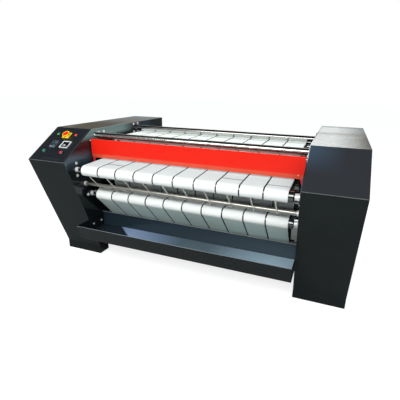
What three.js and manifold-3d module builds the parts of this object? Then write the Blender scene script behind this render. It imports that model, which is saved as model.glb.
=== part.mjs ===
// Flatwork ironer: a roller ironer that takes damp sheets in at the front, presses them between
// ten belts and a heated cylinder, and brings them back out at the front over a catch tray.
// Millimetres. X runs to the right, Y runs back from the front faces of the feet, Z runs up
// from the floor. The finished group is moved along Y so that its origin is at the middle.
import * as THREE from 'three';
import { mergeVertices } from 'three/addons/utils/BufferGeometryUtils.js';
import Module from 'manifold-3d';

// ---------------------------------------------------------------- driving dimensions
const clearance = 0.3;          // between pieces that rest on each other or run in each other

// End cabinets, seen from the side
const gapWidth = 1740;          // between the two side plates
const cabinetWidth = 366;       // one end cabinet with its side plate
const cabinetTop = 1136;
const cabinetRear = 1255;
const footHeight = 80;
const footDepth = 122;
const noseOverhang = 321;       // the nose stands this far before the feet
const noseHeight = 919;
const topFront = 28;            // where the sloping face meets the flat top
const sidePlateThickness = 6;
const casingSheet = 2;

// Belts and rollers
const beltCount = 10;
const beltMargin = 70;          // free width between the belts and each side plate
const beltGap = 8;
const beltThickness = 5;
const barrelMargin = 12;        // roller barrel beyond the belts at the left end
const driveMargin = 28;         // the same at the right end, where the drive is
const shaftRadius = 12;
const shaftEnd = 12;            // shaft beyond the side plate's outer face
const bearingRadius = 23;
const bearingLength = 16;
const beltCorner = 26;          // degrees turned at each corner of a belt round a roller
const pressCorner = 18;         // the same round the heated cylinder

// All that works between the cabinets hangs at a height below their tops.
// Feed conveyor, under the finger guard
const feedFront = { y: -193, z: cabinetTop - 293, r: 37 };
const feedRear = { y: 252, z: cabinetTop - 268, r: 32 };

// Heated cylinder and the rollers that carry the ironing belts round it
const cylinder = { y: 480, z: cabinetTop - 376, r: 190 };
const cylinderWall = 8;
const cylinderEnd = 10;
const journalRadius = 35;
const journalBore = 20;
const pressTopFront = { y: 347, z: cabinetTop - 133, r: 45 };
const pressTopRear = { y: 760, z: cabinetTop - 133, r: 45 };
const pressBottomFront = { y: 235, z: cabinetTop - 481, r: 45 };
const pressBottomRear = { y: 800, z: cabinetTop - 676, r: 45 };

// Return conveyor, over the catch tray
const returnFront = { y: -42, z: cabinetTop - 533, r: 35 };
const returnRear = { y: 110, z: cabinetTop - 528, r: 30 };
const returnTension = { y: 190, z: cabinetTop - 784, r: 25 };

// Cross tubes
const tubeRadius = 25;
const tubeWall = 3;
const frontTube = { y: 76, z: cabinetTop - 53 };
const rearTube = { y: 682, z: cabinetTop - 52 };

// Finger guard
const guardClear = 10;          // from the guard's ends to the side plates
const guardSheet = 2;
const guardFace = -9;           // the front of its face
const guardDrop = 73;           // its upper edge below the cabinets' tops
const guardHeight = 154;
const guardSkirt = 33;          // the lower part of the height, which leans back
const guardLean = 9;
const guardHem = 9;
const guardCheekDepth = 38;
const guardLegLength = 45;      // of the legs and cheeks below the guard's lower edge
const guardLegTop = 27;         // width of a leg at the lower edge
const guardLegFoot = 15;        // and at its foot
const guardPinRadius = 4;
const guardPinDrop = 15;        // below the guard's upper edge

// Guide fingers between the two conveyors
const fingerRod = { y: -115, z: cabinetTop - 425, r: 12 };
const fingerWidth = 9;
const fingerThickness = 3;
const fingerTip = { y: -227, z: cabinetTop - 332 };
const fingerTail = { y: -100, z: cabinetTop - 459 };

// Catch tray
const traySheet = 2.5;
const trayLip = { y: -272, z: cabinetTop - 755 };
const trayToe = { y: -223, z: cabinetTop - 884 };
const trayHeel = { y: 86, z: cabinetTop - 869 };
const trayRearTop = cabinetTop - 740;
const trayHem = 7;

// Rear cover
const rearCoverSheet = 2;
const rearCoverInset = 10;      // before the cabinets' rear faces
const rearCoverBottom = 140;
const rearCoverTop = cabinetTop - 114;
const rearCoverClear = 40;      // between the ironing belts and the hood's front edge
const rearCoverSlope = 60;      // size of the slanted corner between hood and back

// Control panel, on the sloping face of the left cabinet. Places on it are measured from
// the cabinet's outer edge (u), up the slope from the nose (v) and out of the face (n).
const panelMargin = 8;
const panelSheet = 2.5;
const bezelOuter = 16.5;
const bezelInner = 13;
const bezelHeight = 9;
const buttonTravel = 4;
const buttonHeight = 9;
const lampHeight = 13;
const greenLampAt = { u: 93, v: 311 };
const redLampAt = { u: 272, v: 313 };
const startButtonAt = { u: 93, v: 102 };
const stopButtonAt = { u: 268, v: 99 };
const switchAt = { u: 186, v: 302 };
const switchSize = 66;
const switchPlate = 10;
const turretRadius = 31;
const turretHeight = 11;
const knobRadius = 25;
const knobDisc = 6;
const gripWidth = 15;
const gripLength = 44;
const gripHeight = 11;
const controllerAt = { u: 134, v: 187 };
const controllerSize = { width: 56, length: 80, height: 9 };
const displayAt = { u: 245, v: 193 };
const displaySize = { width: 78, length: 76, height: 9 };
const instrumentRim = 8;
const instrumentRecess = 3;

// Gear motor, inside the right cabinet
const gearbox = { y: cylinder.y, z: cylinder.z - 330, width: 150, depth: 120 };
const motorRadius = 62;
const motorLength = 170;
const motorFanCover = 56;
const motorFanLength = 36;

// ---------------------------------------------------------------- worked-out dimensions
const halfGap = gapWidth / 2;
const plateOuter = halfGap + sidePlateThickness;
const cabinetOuter = halfGap + cabinetWidth;
const beltsHalf = halfGap - beltMargin;
const beltPitch = 2 * beltsHalf / beltCount;
const beltWidth = beltPitch - beltGap;
const barrelHalf = beltsHalf + barrelMargin;
const barrelDrive = beltsHalf + driveMargin;
const shaftHalf = plateOuter + shaftEnd;
const slopeRun = topFront + noseOverhang;
const slopeRise = cabinetTop - noseHeight;
const slopeLength = Math.hypot(slopeRun, slopeRise);
const slopeAngle = Math.atan2(slopeRise, slopeRun);
const centreY = (cabinetRear - noseOverhang) / 2;
const guardBack = guardFace + guardSheet;
const guardTop = cabinetTop - guardDrop;
const guardBottom = guardTop - guardHeight;
const guardBend = guardBottom + guardSkirt;
const guardCheekBottom = guardBottom - guardLegLength;
const guardPivot = { y: guardBack, z: guardTop - guardPinDrop, r: guardPinRadius };

// ---------------------------------------------------------------- finishes
const finish = (color, roughness, metalness = 0) =>
  new THREE.MeshStandardMaterial({ color, roughness, metalness });
const finishes = {
  casing: finish(0x26282b, 0.5, 0.2),
  sidePlate: finish(0x1b1d20, 0.25, 0.2),
  tray: finish(0x1f2b38, 0.3, 0.2),
  guard: finish(0xf2281a, 0.25),
  belt: finish(0xeef0ee, 0.9),
  steel: finish(0xb9bcbc, 0.35, 0.9),
  chrome: finish(0xd8dadb, 0.12, 1.0),
  panel: finish(0x1d1f22, 0.45, 0.1),
  yellow: finish(0xf3cf1b, 0.4),
  red: finish(0xe02410, 0.35),
  green: finish(0x1fa94c, 0.3),
  plastic: finish(0x3b4a58, 0.4),
  white: finish(0xe6e8e6, 0.4),
  motor: finish(0x3c4c5c, 0.5, 0.3),
};

// ---------------------------------------------------------------- shape helpers
const wasm = await Module();
wasm.setup();

// An outline of [y, z] corners, drawn out along X from x0 to x1
function extrudeX(outline, x0, x1, hole = null) {
  const shape = new THREE.Shape(outline.map(([y, z]) => new THREE.Vector2(y, z)));
  if (hole) shape.holes.push(new THREE.Path(hole.map(([y, z]) => new THREE.Vector2(y, z))));
  const geometry = new THREE.ExtrudeGeometry(shape, { depth: x1 - x0, bevelEnabled: false });
  const turn = new THREE.Matrix4().set(0, 0, 1, x0, 1, 0, 0, 0, 0, 1, 0, 0, 0, 0, 0, 1);
  return geometry.applyMatrix4(turn);
}

// A profile of [x, radius] points turned about an axis along X through (y, z)
function turnX(profile, { y, z }, steps) {
  const points = profile.map(([x, radius]) => new THREE.Vector2(radius, x));
  return new THREE.LatheGeometry(points, steps).rotateZ(-Math.PI / 2).translate(0, y, z);
}

// A round bar along X. Its flats stand off the radius when it is cut as a hole.
function barX({ y, z }, radius, x0, x1, steps, round = 1) {
  const profile = [[x0, 0], [x0, radius * round], [x1, radius * round], [x1, 0]];
  return turnX(profile, { y, z }, steps);
}
const holeFactor = (steps) => 1 / Math.cos(Math.PI / steps);

// A block standing on n = 0 with its middle at (u, v)
function block(width, length, height, { u, v }, n) {
  return new THREE.BoxGeometry(width, length, height).translate(u, v, n + height / 2);
}

// A profile of [radius, n] points turned about the panel's normal through (u, v)
function turnPanel(profile, { u, v }, steps) {
  const points = profile.map(([radius, n]) => new THREE.Vector2(radius, n));
  return new THREE.LatheGeometry(points, steps).rotateX(Math.PI / 2).translate(u, v, 0);
}

// A rectangle with rounded corners, drawn up from n to n + height
function roundedPlate(width, length, radius, height, { u, v }, n) {
  const w = width / 2;
  const l = length / 2;
  const shape = new THREE.Shape();
  shape.moveTo(-w + radius, -l);
  shape.absarc(w - radius, -l + radius, radius, -Math.PI / 2, 0);
  shape.absarc(w - radius, l - radius, radius, 0, Math.PI / 2);
  shape.absarc(-w + radius, l - radius, radius, Math.PI / 2, Math.PI);
  shape.absarc(-w + radius, -l + radius, radius, Math.PI, 1.5 * Math.PI);
  const geometry = new THREE.ExtrudeGeometry(shape, { depth: height, bevelEnabled: false, curveSegments: 3 });
  return geometry.translate(u, v, n);
}

// A closed geometry as a solid that can be joined and cut
function solid(geometry) {
  const bare = geometry.clone();
  bare.deleteAttribute('normal');
  bare.deleteAttribute('uv');
  const merged = mergeVertices(bare, 1e-4);
  const index = merged.index.array;
  const corners = [];
  for (let i = 0; i < index.length; i += 3) {
    const [a, b, c] = [index[i], index[i + 1], index[i + 2]];
    if (a !== b && b !== c && c !== a) corners.push(a, b, c);
  }
  const vertProperties = Float32Array.from(merged.attributes.position.array);
  const triVerts = Uint32Array.from(corners);
  return new wasm.Manifold(new wasm.Mesh({ numProp: 3, vertProperties, triVerts }));
}

function fromSolid(body) {
  const mesh = body.getMesh();
  const geometry = new THREE.BufferGeometry();
  geometry.setAttribute('position', new THREE.BufferAttribute(Float32Array.from(mesh.vertProperties), 3));
  geometry.setIndex(new THREE.BufferAttribute(Uint32Array.from(mesh.triVerts), 1));
  geometry.computeVertexNormals();
  return geometry;
}

const join = (first, ...rest) => rest.reduce((body, piece) => body.add(solid(piece)), solid(first));
const cut = (body, ...pieces) => pieces.reduce((rest, piece) => rest.subtract(solid(piece)), body);

// ---------------------------------------------------------------- the group
const machine = new THREE.Group();
machine.position.set(0, -centreY, 0);
const panelFrame = new THREE.Group();
panelFrame.position.set(-cabinetOuter, -noseOverhang, noseHeight);
panelFrame.rotation.x = slopeAngle;
machine.add(panelFrame);

function add(name, geometry, material, parent = machine) {
  const mesh = new THREE.Mesh(geometry, material);
  mesh.name = name;
  parent.add(mesh);
}

// ---------------------------------------------------------------- end cabinets
const cabinetOutline = [
  [0, 0],
  [footDepth, 0],
  [footDepth, footHeight],
  [cabinetRear - footDepth, footHeight],
  [cabinetRear - footDepth, 0],
  [cabinetRear, 0],
  [cabinetRear, cabinetTop],
  [topFront, cabinetTop],
  [-noseOverhang, noseHeight],
  [0, footHeight],
];

// The outline moved inwards by the sheet's thickness, corner by corner
function inset(outline, distance) {
  const count = outline.length;
  const edges = outline.map(([y, z], i) => {
    const [y2, z2] = outline[(i + 1) % count];
    const length = Math.hypot(y2 - y, z2 - z);
    const [dy, dz] = [(y2 - y) / length, (z2 - z) / length];
    return { y: y - dz * distance, z: z + dy * distance, dy, dz };
  });
  return edges.map((edge, i) => {
    const before = edges[(i + count - 1) % count];
    const cross = before.dy * edge.dz - before.dz * edge.dy;
    const along = ((edge.y - before.y) * edge.dz - (edge.z - before.z) * edge.dy) / cross;
    return [before.y + before.dy * along, before.z + before.dz * along];
  });
}

// The casing is a sheet-metal shell that is open towards its side plate
function casing(side) {
  const inner = plateOuter + clearance;
  const [x0, x1] = side > 0 ? [inner, cabinetOuter] : [-cabinetOuter, -inner];
  const wall = cabinetOuter - casingSheet;
  const [c0, c1] = side > 0 ? [inner - 1, wall] : [-wall, 1 - inner];
  const shell = solid(extrudeX(cabinetOutline, x0, x1));
  return cut(shell, extrudeX(inset(cabinetOutline, casingSheet), c0, c1));
}

const rollers = {
  feed_front_roller: feedFront,
  feed_rear_roller: feedRear,
  press_top_front_roller: pressTopFront,
  press_top_rear_roller: pressTopRear,
  press_bottom_front_roller: pressBottomFront,
  press_bottom_rear_roller: pressBottomRear,
  return_front_roller: returnFront,
  return_rear_roller: returnRear,
  return_tension_roller: returnTension,
};

// A side plate carries a bearing for each roller and holes for the cylinder and the guard
function sideFrame(side) {
  const holeSteps = 12;
  const span = (x0, x1) => (side > 0 ? [x0, x1] : [-x1, -x0]);
  let plate = solid(extrudeX(cabinetOutline, ...span(halfGap, plateOuter)));
  const bearingInner = halfGap - bearingLength;
  for (const wheel of Object.values(rollers)) {
    plate = plate.add(solid(barX(wheel, bearingRadius, ...span(bearingInner, halfGap + 1), 16)));
  }
  const hole = (at, radius) =>
    barX(at, radius + clearance, ...span(bearingInner - 1, plateOuter + 1), holeSteps, holeFactor(holeSteps));
  const holes = Object.values(rollers).map((wheel) => hole(wheel, shaftRadius));
  return cut(plate, ...holes, hole(cylinder, journalRadius), hole(guardPivot, guardPivot.r));
}

for (const [name, side] of [['left', -1], ['right', 1]]) {
  add(`${name}_side_frame`, fromSolid(sideFrame(side)), finishes.sidePlate);
  add(`${name}_casing`, fromSolid(casing(side)), finishes.casing);
}

// ---------------------------------------------------------------- rollers and cylinder
function rollerProfile(radius) {
  const edge = 3;
  return [
    [-shaftHalf, 0],
    [-shaftHalf, shaftRadius],
    [-barrelHalf, shaftRadius],
    [-barrelHalf, radius - edge],
    [-barrelHalf + edge, radius],
    [barrelDrive - edge, radius],
    [barrelDrive, radius - edge],
    [barrelDrive, shaftRadius],
    [shaftHalf, shaftRadius],
    [shaftHalf, 0],
  ];
}

for (const [name, wheel] of Object.entries(rollers)) {
  add(name, turnX(rollerProfile(wheel.r), wheel, 20), finishes.steel);
}

// The cylinder is a heated drum on hollow journals
const drumInside = barrelHalf - cylinderEnd;
const cylinderProfile = [
  [-shaftHalf, journalBore],
  [-shaftHalf, journalRadius],
  [-barrelHalf, journalRadius],
  [-barrelHalf, cylinder.r],
  [barrelHalf, cylinder.r],
  [barrelHalf, journalRadius],
  [shaftHalf, journalRadius],
  [shaftHalf, journalBore],
  [drumInside, journalBore],
  [drumInside, cylinder.r - cylinderWall],
  [-drumInside, cylinder.r - cylinderWall],
  [-drumInside, journalBore],
  [-shaftHalf, journalBore],
];
add('heated_cylinder', turnX(cylinderProfile, cylinder, 40), finishes.chrome);

// ---------------------------------------------------------------- belts
// A belt runs tight round its wheels. A wheel inside the loop has side 1, and the cylinder,
// which the belt's outer face rides on, has side -1. Each face of the belt is a polygon whose
// flats touch the wheels' circles, so a wheel can turn in it.
function beltFace(wheels, lift) {
  const count = wheels.length;
  const backLift = 2 * clearance + beltThickness - lift;
  const signed = wheels.map((w) => (w.side < 0 ? -(w.r + backLift) : w.r + lift));
  const heading = wheels.map((w, i) => {
    const next = wheels[(i + 1) % count];
    const [dy, dz] = [next.y - w.y, next.z - w.z];
    const spread = Math.acos((signed[(i + 1) % count] - signed[i]) / Math.hypot(dy, dz));
    return Math.atan2(dz, dy) + spread - Math.PI / 2;
  });
  return wheels.flatMap((w, i) => {
    const from = heading[(i + count - 1) % count];
    const turnLeft = THREE.MathUtils.euclideanModulo(heading[i] - from, 2 * Math.PI);
    const sweep = w.side < 0 ? turnLeft - 2 * Math.PI : turnLeft;
    const step = THREE.MathUtils.degToRad(w.side < 0 ? pressCorner : beltCorner);
    const corners = Math.max(2, Math.round(Math.abs(sweep) / step));
    const half = sweep / corners / 2;
    return Array.from({ length: corners }, (_, k) => {
      const angle = from + half * (2 * k + 1);
      const reach = signed[i] / Math.cos(half);
      return [w.y + reach * Math.sin(angle), w.z - reach * Math.cos(angle)];
    });
  });
}

function beltSet(name, wheels) {
  const outer = beltFace(wheels, clearance + beltThickness);
  const inner = beltFace(wheels, clearance);
  for (let i = 0; i < beltCount; i += 1) {
    const middle = (i - (beltCount - 1) / 2) * beltPitch;
    const belt = extrudeX(outer, middle - beltWidth / 2, middle + beltWidth / 2, inner);
    add(`${name}_${String(i + 1).padStart(2, '0')}`, belt, finishes.belt);
  }
}

beltSet('feed_belt', [feedFront, feedRear]);
beltSet('ironing_belt', [
  pressTopFront,
  { ...cylinder, side: -1 },
  pressBottomFront,
  pressBottomRear,
  pressTopRear,
]);
beltSet('return_belt', [returnFront, returnTension, returnRear]);

// ---------------------------------------------------------------- cross tubes
function crossTube(at) {
  const half = halfGap - clearance;
  const bore = tubeRadius - tubeWall;
  const profile = [[-half, bore], [-half, tubeRadius], [half, tubeRadius], [half, bore], [-half, bore]];
  return turnX(profile, at, 24);
}
add('front_cross_tube', crossTube(frontTube), finishes.chrome);
add('rear_cross_tube', crossTube(rearTube), finishes.chrome);

// ---------------------------------------------------------------- finger guard
// A bent red sheet with a cheek at each end. It hangs on a pin in each side plate.
const guardHalf = halfGap - guardClear;
const guardSection = [
  [guardFace, guardTop],
  [guardFace, guardBend],
  [guardFace + guardLean, guardBottom],
  [guardFace + guardLean + guardSheet, guardBottom],
  [guardBack, guardBend],
  [guardBack, guardTop - guardSheet],
  [guardBack + guardHem, guardTop - guardSheet],
  [guardBack + guardHem, guardTop],
];
const cheekBack = guardFace + guardCheekDepth;
const guardCheek = [
  [guardBack - 1, guardTop - guardSheet / 2],
  [guardBack - 1, guardBend],
  [guardFace + guardLean, guardBottom],
  [guardFace + guardLean + guardHem, guardCheekBottom],
  [cheekBack, guardCheekBottom],
  [cheekBack, guardBend],
  [guardBack + guardHem, guardTop - guardSheet / 2],
];
const guardPin = (side) => {
  const [from, to] = [guardHalf - guardSheet / 2, plateOuter];
  const [x0, x1] = side > 0 ? [from, to] : [-to, -from];
  return barX(guardPivot, guardPivot.r, x0, x1, 12);
};
// A leg reaches down before each cheek. It narrows towards its foot and leans as the cheek does.
const guardLegAngle = Math.atan2(guardHem, guardLegLength);
function guardLeg(side) {
  const run = Math.hypot(guardHem, guardLegLength);
  const corner = (inward, up) => new THREE.Vector2(side * (guardHalf - inward), up);
  const corners = [corner(0, 1), corner(guardLegTop, 1), corner(guardLegFoot, -run), corner(0, -run)];
  const shape = new THREE.Shape(corners);
  return new THREE.ExtrudeGeometry(shape, { depth: guardSheet, bevelEnabled: false })
    .rotateX(Math.PI / 2 + guardLegAngle)
    .translate(0, guardFace + guardLean + guardSheet, guardBottom);
}
add('finger_guard', fromSolid(join(
  extrudeX(guardSection, -guardHalf, guardHalf),
  guardLeg(-1),
  guardLeg(1),
  extrudeX(guardCheek, -guardHalf, -guardHalf + guardSheet),
  extrudeX(guardCheek, guardHalf - guardSheet, guardHalf),
  guardPin(-1),
  guardPin(1),
)), finishes.guard);

// ---------------------------------------------------------------- guide fingers
// Ten flat fingers lie on a cross rod, one under the middle of each feed belt
const fingerRun = { y: fingerTail.y - fingerTip.y, z: fingerTail.z - fingerTip.z };
const fingerLength = Math.hypot(fingerRun.y, fingerRun.z);
const acrossFinger = { y: -fingerRun.z / fingerLength, z: fingerRun.y / fingerLength };
const fingerBack = ({ y, z }) => [y + acrossFinger.y * fingerThickness, z + acrossFinger.z * fingerThickness];
const fingerSection = [
  [fingerTip.y, fingerTip.z],
  [fingerTail.y, fingerTail.z],
  fingerBack(fingerTail),
  fingerBack(fingerTip),
];
const rodHalf = halfGap - clearance;
const rodBar = barX(fingerRod, fingerRod.r, -rodHalf, rodHalf, 12);
const fingers = Array.from({ length: beltCount }, (_, i) => {
  const middle = (i - (beltCount - 1) / 2) * beltPitch;
  return extrudeX(fingerSection, middle - fingerWidth / 2, middle + fingerWidth / 2);
});
add('guide_fingers', fromSolid(join(rodBar, ...fingers)), finishes.steel);

// ---------------------------------------------------------------- catch tray
const trayHalf = halfGap - clearance;
const trayOutside = [
  [trayLip.y, trayLip.z],
  [trayToe.y, trayToe.z],
  [trayHeel.y, trayHeel.z],
  [trayHeel.y, trayRearTop],
];
const traySheetLine = inset([...trayOutside, [0, 2 * trayRearTop]], traySheet).slice(0, 4);
const trayInside = [
  [trayLip.y + traySheet, trayLip.z],
  traySheetLine[1],
  traySheetLine[2],
  [trayHeel.y - traySheet, trayRearTop],
];
const traySection = [...trayOutside, ...[...trayInside].reverse()];
const trayHems = [
  [[trayLip.y, trayLip.z - trayHem], [trayLip.y + trayHem, trayLip.z - trayHem],
    [trayLip.y + trayHem, trayLip.z], [trayLip.y, trayLip.z]],
  [[trayHeel.y - trayHem, trayRearTop - trayHem], [trayHeel.y, trayRearTop - trayHem],
    [trayHeel.y, trayRearTop], [trayHeel.y - trayHem, trayRearTop]],
];
const trayEnd = [
  [trayLip.y + 1, trayLip.z],
  [trayToe.y + 1, trayToe.z + 1],
  [trayHeel.y - 1, trayHeel.z + 1],
  [trayHeel.y - 1, trayLip.z],
];
add('catch_tray', fromSolid(join(
  extrudeX(traySection, -trayHalf, trayHalf),
  ...trayHems.map((hem) => extrudeX(hem, -trayHalf, trayHalf)),
  extrudeX(trayEnd, -trayHalf, -trayHalf + traySheet),
  extrudeX(trayEnd, trayHalf - traySheet, trayHalf),
)), finishes.tray);

// ---------------------------------------------------------------- rear cover
const rearCoverFront = pressTopRear.y + pressTopRear.r + beltThickness + rearCoverClear;
const rearCoverBack = cabinetRear - rearCoverInset;
const rearOutside = [
  [rearCoverBack, rearCoverBottom],
  [rearCoverBack, rearCoverTop - rearCoverSlope],
  [rearCoverBack - rearCoverSlope, rearCoverTop],
  [rearCoverFront, rearCoverTop],
];
const rearInside = inset([...rearOutside, [rearCoverFront, rearCoverBottom]], rearCoverSheet);
const rearSection = [
  ...rearOutside,
  [rearCoverFront, rearInside[3][1]],
  rearInside[2],
  rearInside[1],
  [rearInside[0][0], rearCoverBottom],
];
add('rear_cover', extrudeX(rearSection, -trayHalf, trayHalf), finishes.casing);

// ---------------------------------------------------------------- gear motor
const gearboxX = plateOuter + clearance;
const motorX = gearboxX + gearbox.depth;
const half = gearbox.width / 2;
const gearboxOutline = [
  [gearbox.y - half, gearbox.z - half],
  [gearbox.y + half, gearbox.z - half],
  [gearbox.y + half, gearbox.z + half],
  [gearbox.y - half, gearbox.z + half],
];
add('gear_motor', fromSolid(join(
  extrudeX(gearboxOutline, gearboxX, motorX),
  barX(gearbox, motorRadius, motorX - 1, motorX + motorLength, 20),
  barX(gearbox, motorFanCover, motorX + motorLength - 1, motorX + motorLength + motorFanLength, 20),
)), finishes.motor);

// ---------------------------------------------------------------- control panel
const panelBase = clearance;
const panelFace = panelBase + panelSheet;
const panelWidth = cabinetOuter - plateOuter - 2 * panelMargin;
const panelLength = slopeLength - 2 * panelMargin;
const panelMiddle = { u: panelMargin + panelWidth / 2, v: slopeLength / 2 };
const bezelProfile = [
  [bezelInner, panelFace - 1],
  [bezelOuter, panelFace - 1],
  [bezelOuter, panelFace + bezelHeight - 2],
  [bezelOuter - 2, panelFace + bezelHeight],
  [bezelInner, panelFace + bezelHeight],
  [bezelInner, panelFace - 1],
];
const roundControls = [greenLampAt, redLampAt, startButtonAt, stopButtonAt];
add('control_panel', fromSolid(join(
  block(panelWidth, panelLength, panelSheet, panelMiddle, panelBase),
  ...roundControls.map((at) => turnPanel(bezelProfile, at, 20)),
)), finishes.panel, panelFrame);

// Lamps are domes that fill their bezels
function lamp(at) {
  const radius = bezelInner - clearance;
  const base = panelFace + clearance;
  return turnPanel([
    [0, base],
    [radius, base],
    [radius, base + lampHeight * 0.7],
    [radius * 0.7, base + lampHeight * 0.93],
    [0, base + lampHeight],
  ], at, 16);
}
add('green_lamp', lamp(greenLampAt), finishes.green, panelFrame);
add('red_lamp', lamp(redLampAt), finishes.red, panelFrame);

// A button stands off the panel by its travel
function button(at) {
  const radius = bezelInner - clearance;
  const base = panelFace + clearance + buttonTravel;
  return turnPanel([
    [0, base],
    [radius, base],
    [radius, base + buttonHeight - 1],
    [radius - 1, base + buttonHeight],
    [0, base + buttonHeight],
  ], at, 16);
}
add('start_button', button(startButtonAt), finishes.green, panelFrame);
add('stop_button', button(stopButtonAt), finishes.red, panelFrame);

// Main switch: a square yellow base with a round turret, and a red knob that turns on it
const switchFoot = panelFace + clearance;
const turretTop = switchFoot + switchPlate + turretHeight;
const turretProfile = [
  [0, switchFoot + switchPlate - 1],
  [turretRadius + 1, switchFoot + switchPlate - 1],
  [turretRadius, turretTop],
  [0, turretTop],
];
add('main_switch_base', fromSolid(join(
  roundedPlate(switchSize, switchSize, 9, switchPlate, switchAt, switchFoot),
  turnPanel(turretProfile, switchAt, 20),
)), finishes.yellow, panelFrame);
const knobFoot = turretTop + clearance;
const knobProfile = [
  [0, knobFoot],
  [knobRadius, knobFoot],
  [knobRadius - 1.5, knobFoot + knobDisc],
  [0, knobFoot + knobDisc],
];
add('main_switch_knob', fromSolid(join(
  turnPanel(knobProfile, switchAt, 20),
  roundedPlate(gripWidth, gripLength, 5, gripHeight, switchAt, knobFoot + 1),
)), finishes.red, panelFrame);

// A flush instrument: a frame with its face set back
function instrument(size, at) {
  const body = solid(roundedPlate(size.width, size.length, 4, size.height, at, panelFace + clearance));
  const window = block(
    size.width - 2 * instrumentRim,
    size.length - 2 * instrumentRim,
    instrumentRecess + 1,
    at,
    panelFace + clearance + size.height - instrumentRecess,
  );
  return fromSolid(cut(body, window));
}
add('temperature_controller', instrument(controllerSize, controllerAt), finishes.plastic, panelFrame);
add('speed_display', instrument(displaySize, displayAt), finishes.white, panelFrame);

export default machine;
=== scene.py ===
# %% [markdown]
# # A flatwork ironer, dressed around its construction model
# The construction model gives every piece its place and its size. This lesson gives the machine
# its looks: smooth tubes and rollers, felt belts, bent sheet metal, and a finish for each of them.
# Everything is in metres. X runs to the right along the rollers, Y to the rear, Z up.

# %% Load the construction model
import math

import bmesh
import bpy
from mathutils import Matrix, Vector, noise


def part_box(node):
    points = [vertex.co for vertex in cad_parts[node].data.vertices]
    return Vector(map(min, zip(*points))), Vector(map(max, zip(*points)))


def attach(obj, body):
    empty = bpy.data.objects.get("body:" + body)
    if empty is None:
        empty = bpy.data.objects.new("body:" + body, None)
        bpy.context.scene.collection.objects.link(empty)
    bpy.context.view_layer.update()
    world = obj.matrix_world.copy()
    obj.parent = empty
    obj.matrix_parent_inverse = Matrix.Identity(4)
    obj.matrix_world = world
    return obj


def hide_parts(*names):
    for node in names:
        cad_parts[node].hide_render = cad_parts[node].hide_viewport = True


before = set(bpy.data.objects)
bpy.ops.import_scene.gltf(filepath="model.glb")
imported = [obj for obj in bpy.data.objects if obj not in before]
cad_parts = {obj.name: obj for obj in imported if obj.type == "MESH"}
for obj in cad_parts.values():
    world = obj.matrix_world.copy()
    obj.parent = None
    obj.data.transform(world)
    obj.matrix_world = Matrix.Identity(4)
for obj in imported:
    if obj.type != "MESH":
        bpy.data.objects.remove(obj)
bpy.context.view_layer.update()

# %% [markdown]
# ## Sizes from the model
# A size that the model already holds is read from it. So a roller that moves in the model takes
# its belts, bearings and bolts along.

# %% Read places and radii
MACHINE = "machine"
SIDES = ((-1, "left"), (1, "right"))
NEAR = 0.0005


def middle(node):
    low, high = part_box(node)
    return (low + high) / 2


def radius_of(node):
    low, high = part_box(node)
    return (high.z - low.z) / 2


def points_of(node):
    return [v.co.copy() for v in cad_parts[node].data.vertices]


casing_low, casing_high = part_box("left_casing")
cabinet_outer = -casing_low.x
cabinet_inner = -casing_high.x
cabinet_top = casing_high.z
cabinet_rear = casing_high.y
nose = min(points_of("left_casing"), key=lambda p: p.y)
top_points = [p for p in points_of("left_casing") if p.z > cabinet_top - NEAR]
top_front = min(top_points, key=lambda p: p.y)
plate_face = min(-p.x for p in points_of("left_side_frame") if p.z > cabinet_top - NEAR)
slope_angle = math.atan2(top_front.z - nose.z, top_front.y - nose.y)
print("sloping face at", round(math.degrees(slope_angle), 1), "degrees")

# %% [markdown]
# ## The camera and the light
# The camera stands in front of the right-hand cabinet and looks down a little, as in the
# photograph. Four wide, soft lamps and an even sky give the plain light of a studio. The sky is
# white where it is seen, directly or in a polished surface, and dimmer as a source of light.

# %% Place the camera
CAMERA_PLACE = Vector((1.0321, -2.7415, 1.4989))
CAMERA_TURN = math.radians(21.908)
CAMERA_TILT = math.radians(18.827)
CAMERA_ROLL = math.radians(0.785)
CAMERA_LENS = 30.489
SENSOR = 36

camera_data = bpy.data.cameras.new("camera")
camera_data.lens = CAMERA_LENS
camera_data.sensor_width = SENSOR
camera = bpy.data.objects.new("camera", camera_data)
camera.matrix_world = (
    Matrix.Translation(CAMERA_PLACE)
    @ Matrix.Rotation(CAMERA_TURN, 4, "Z")
    @ Matrix.Rotation(math.pi / 2 - CAMERA_TILT, 4, "X")
    @ Matrix.Rotation(CAMERA_ROLL, 4, "Z")
)
bpy.context.scene.collection.objects.link(camera)
bpy.context.scene.camera = camera
bpy.context.scene.view_settings.view_transform = "Standard"


# %% Hang the lamps
def soft_lamp(name, place, aim, size, power):
    data = bpy.data.lights.new(name, "AREA")
    data.shape = "RECTANGLE"
    data.size, data.size_y = size
    data.energy = power
    lamp = bpy.data.objects.new(name, data)
    turn = (Vector(aim) - Vector(place)).to_track_quat("-Z", "Y").to_matrix().to_4x4()
    lamp.matrix_world = Matrix.Translation(place) @ turn
    bpy.context.scene.collection.objects.link(lamp)


soft_lamp("key_lamp", (-1.2, -2.7, 3.7), (0.0, -0.2, 0.7), (3.0, 1.8), 50)
soft_lamp("front_lamp", (-0.1, -3.7, 2.7), (0.0, -0.5, 0.65), (3.6, 0.9), 102)
soft_lamp("fill_lamp", (3.0, -2.6, 3.0), (0.2, -0.2, 0.6), (2.4, 2.4), 33)
soft_lamp("rear_lamp", (0.6, 3.2, 3.4), (0.0, 0.3, 0.9), (3.0, 2.0), 50)

# %% [markdown]
# ## Writing a finish as an expression
# A material is a small network of nodes. Written as sums and products it reads like a recipe, so
# one class wraps a node's output and turns the usual signs into Math nodes. A second class holds
# the material, and one method of it makes any node.


# %% Socket arithmetic
def connect(tree, socket, value):
    if isinstance(value, Value):
        tree.links.new(value.socket, socket)
    else:
        socket.default_value = value


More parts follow.
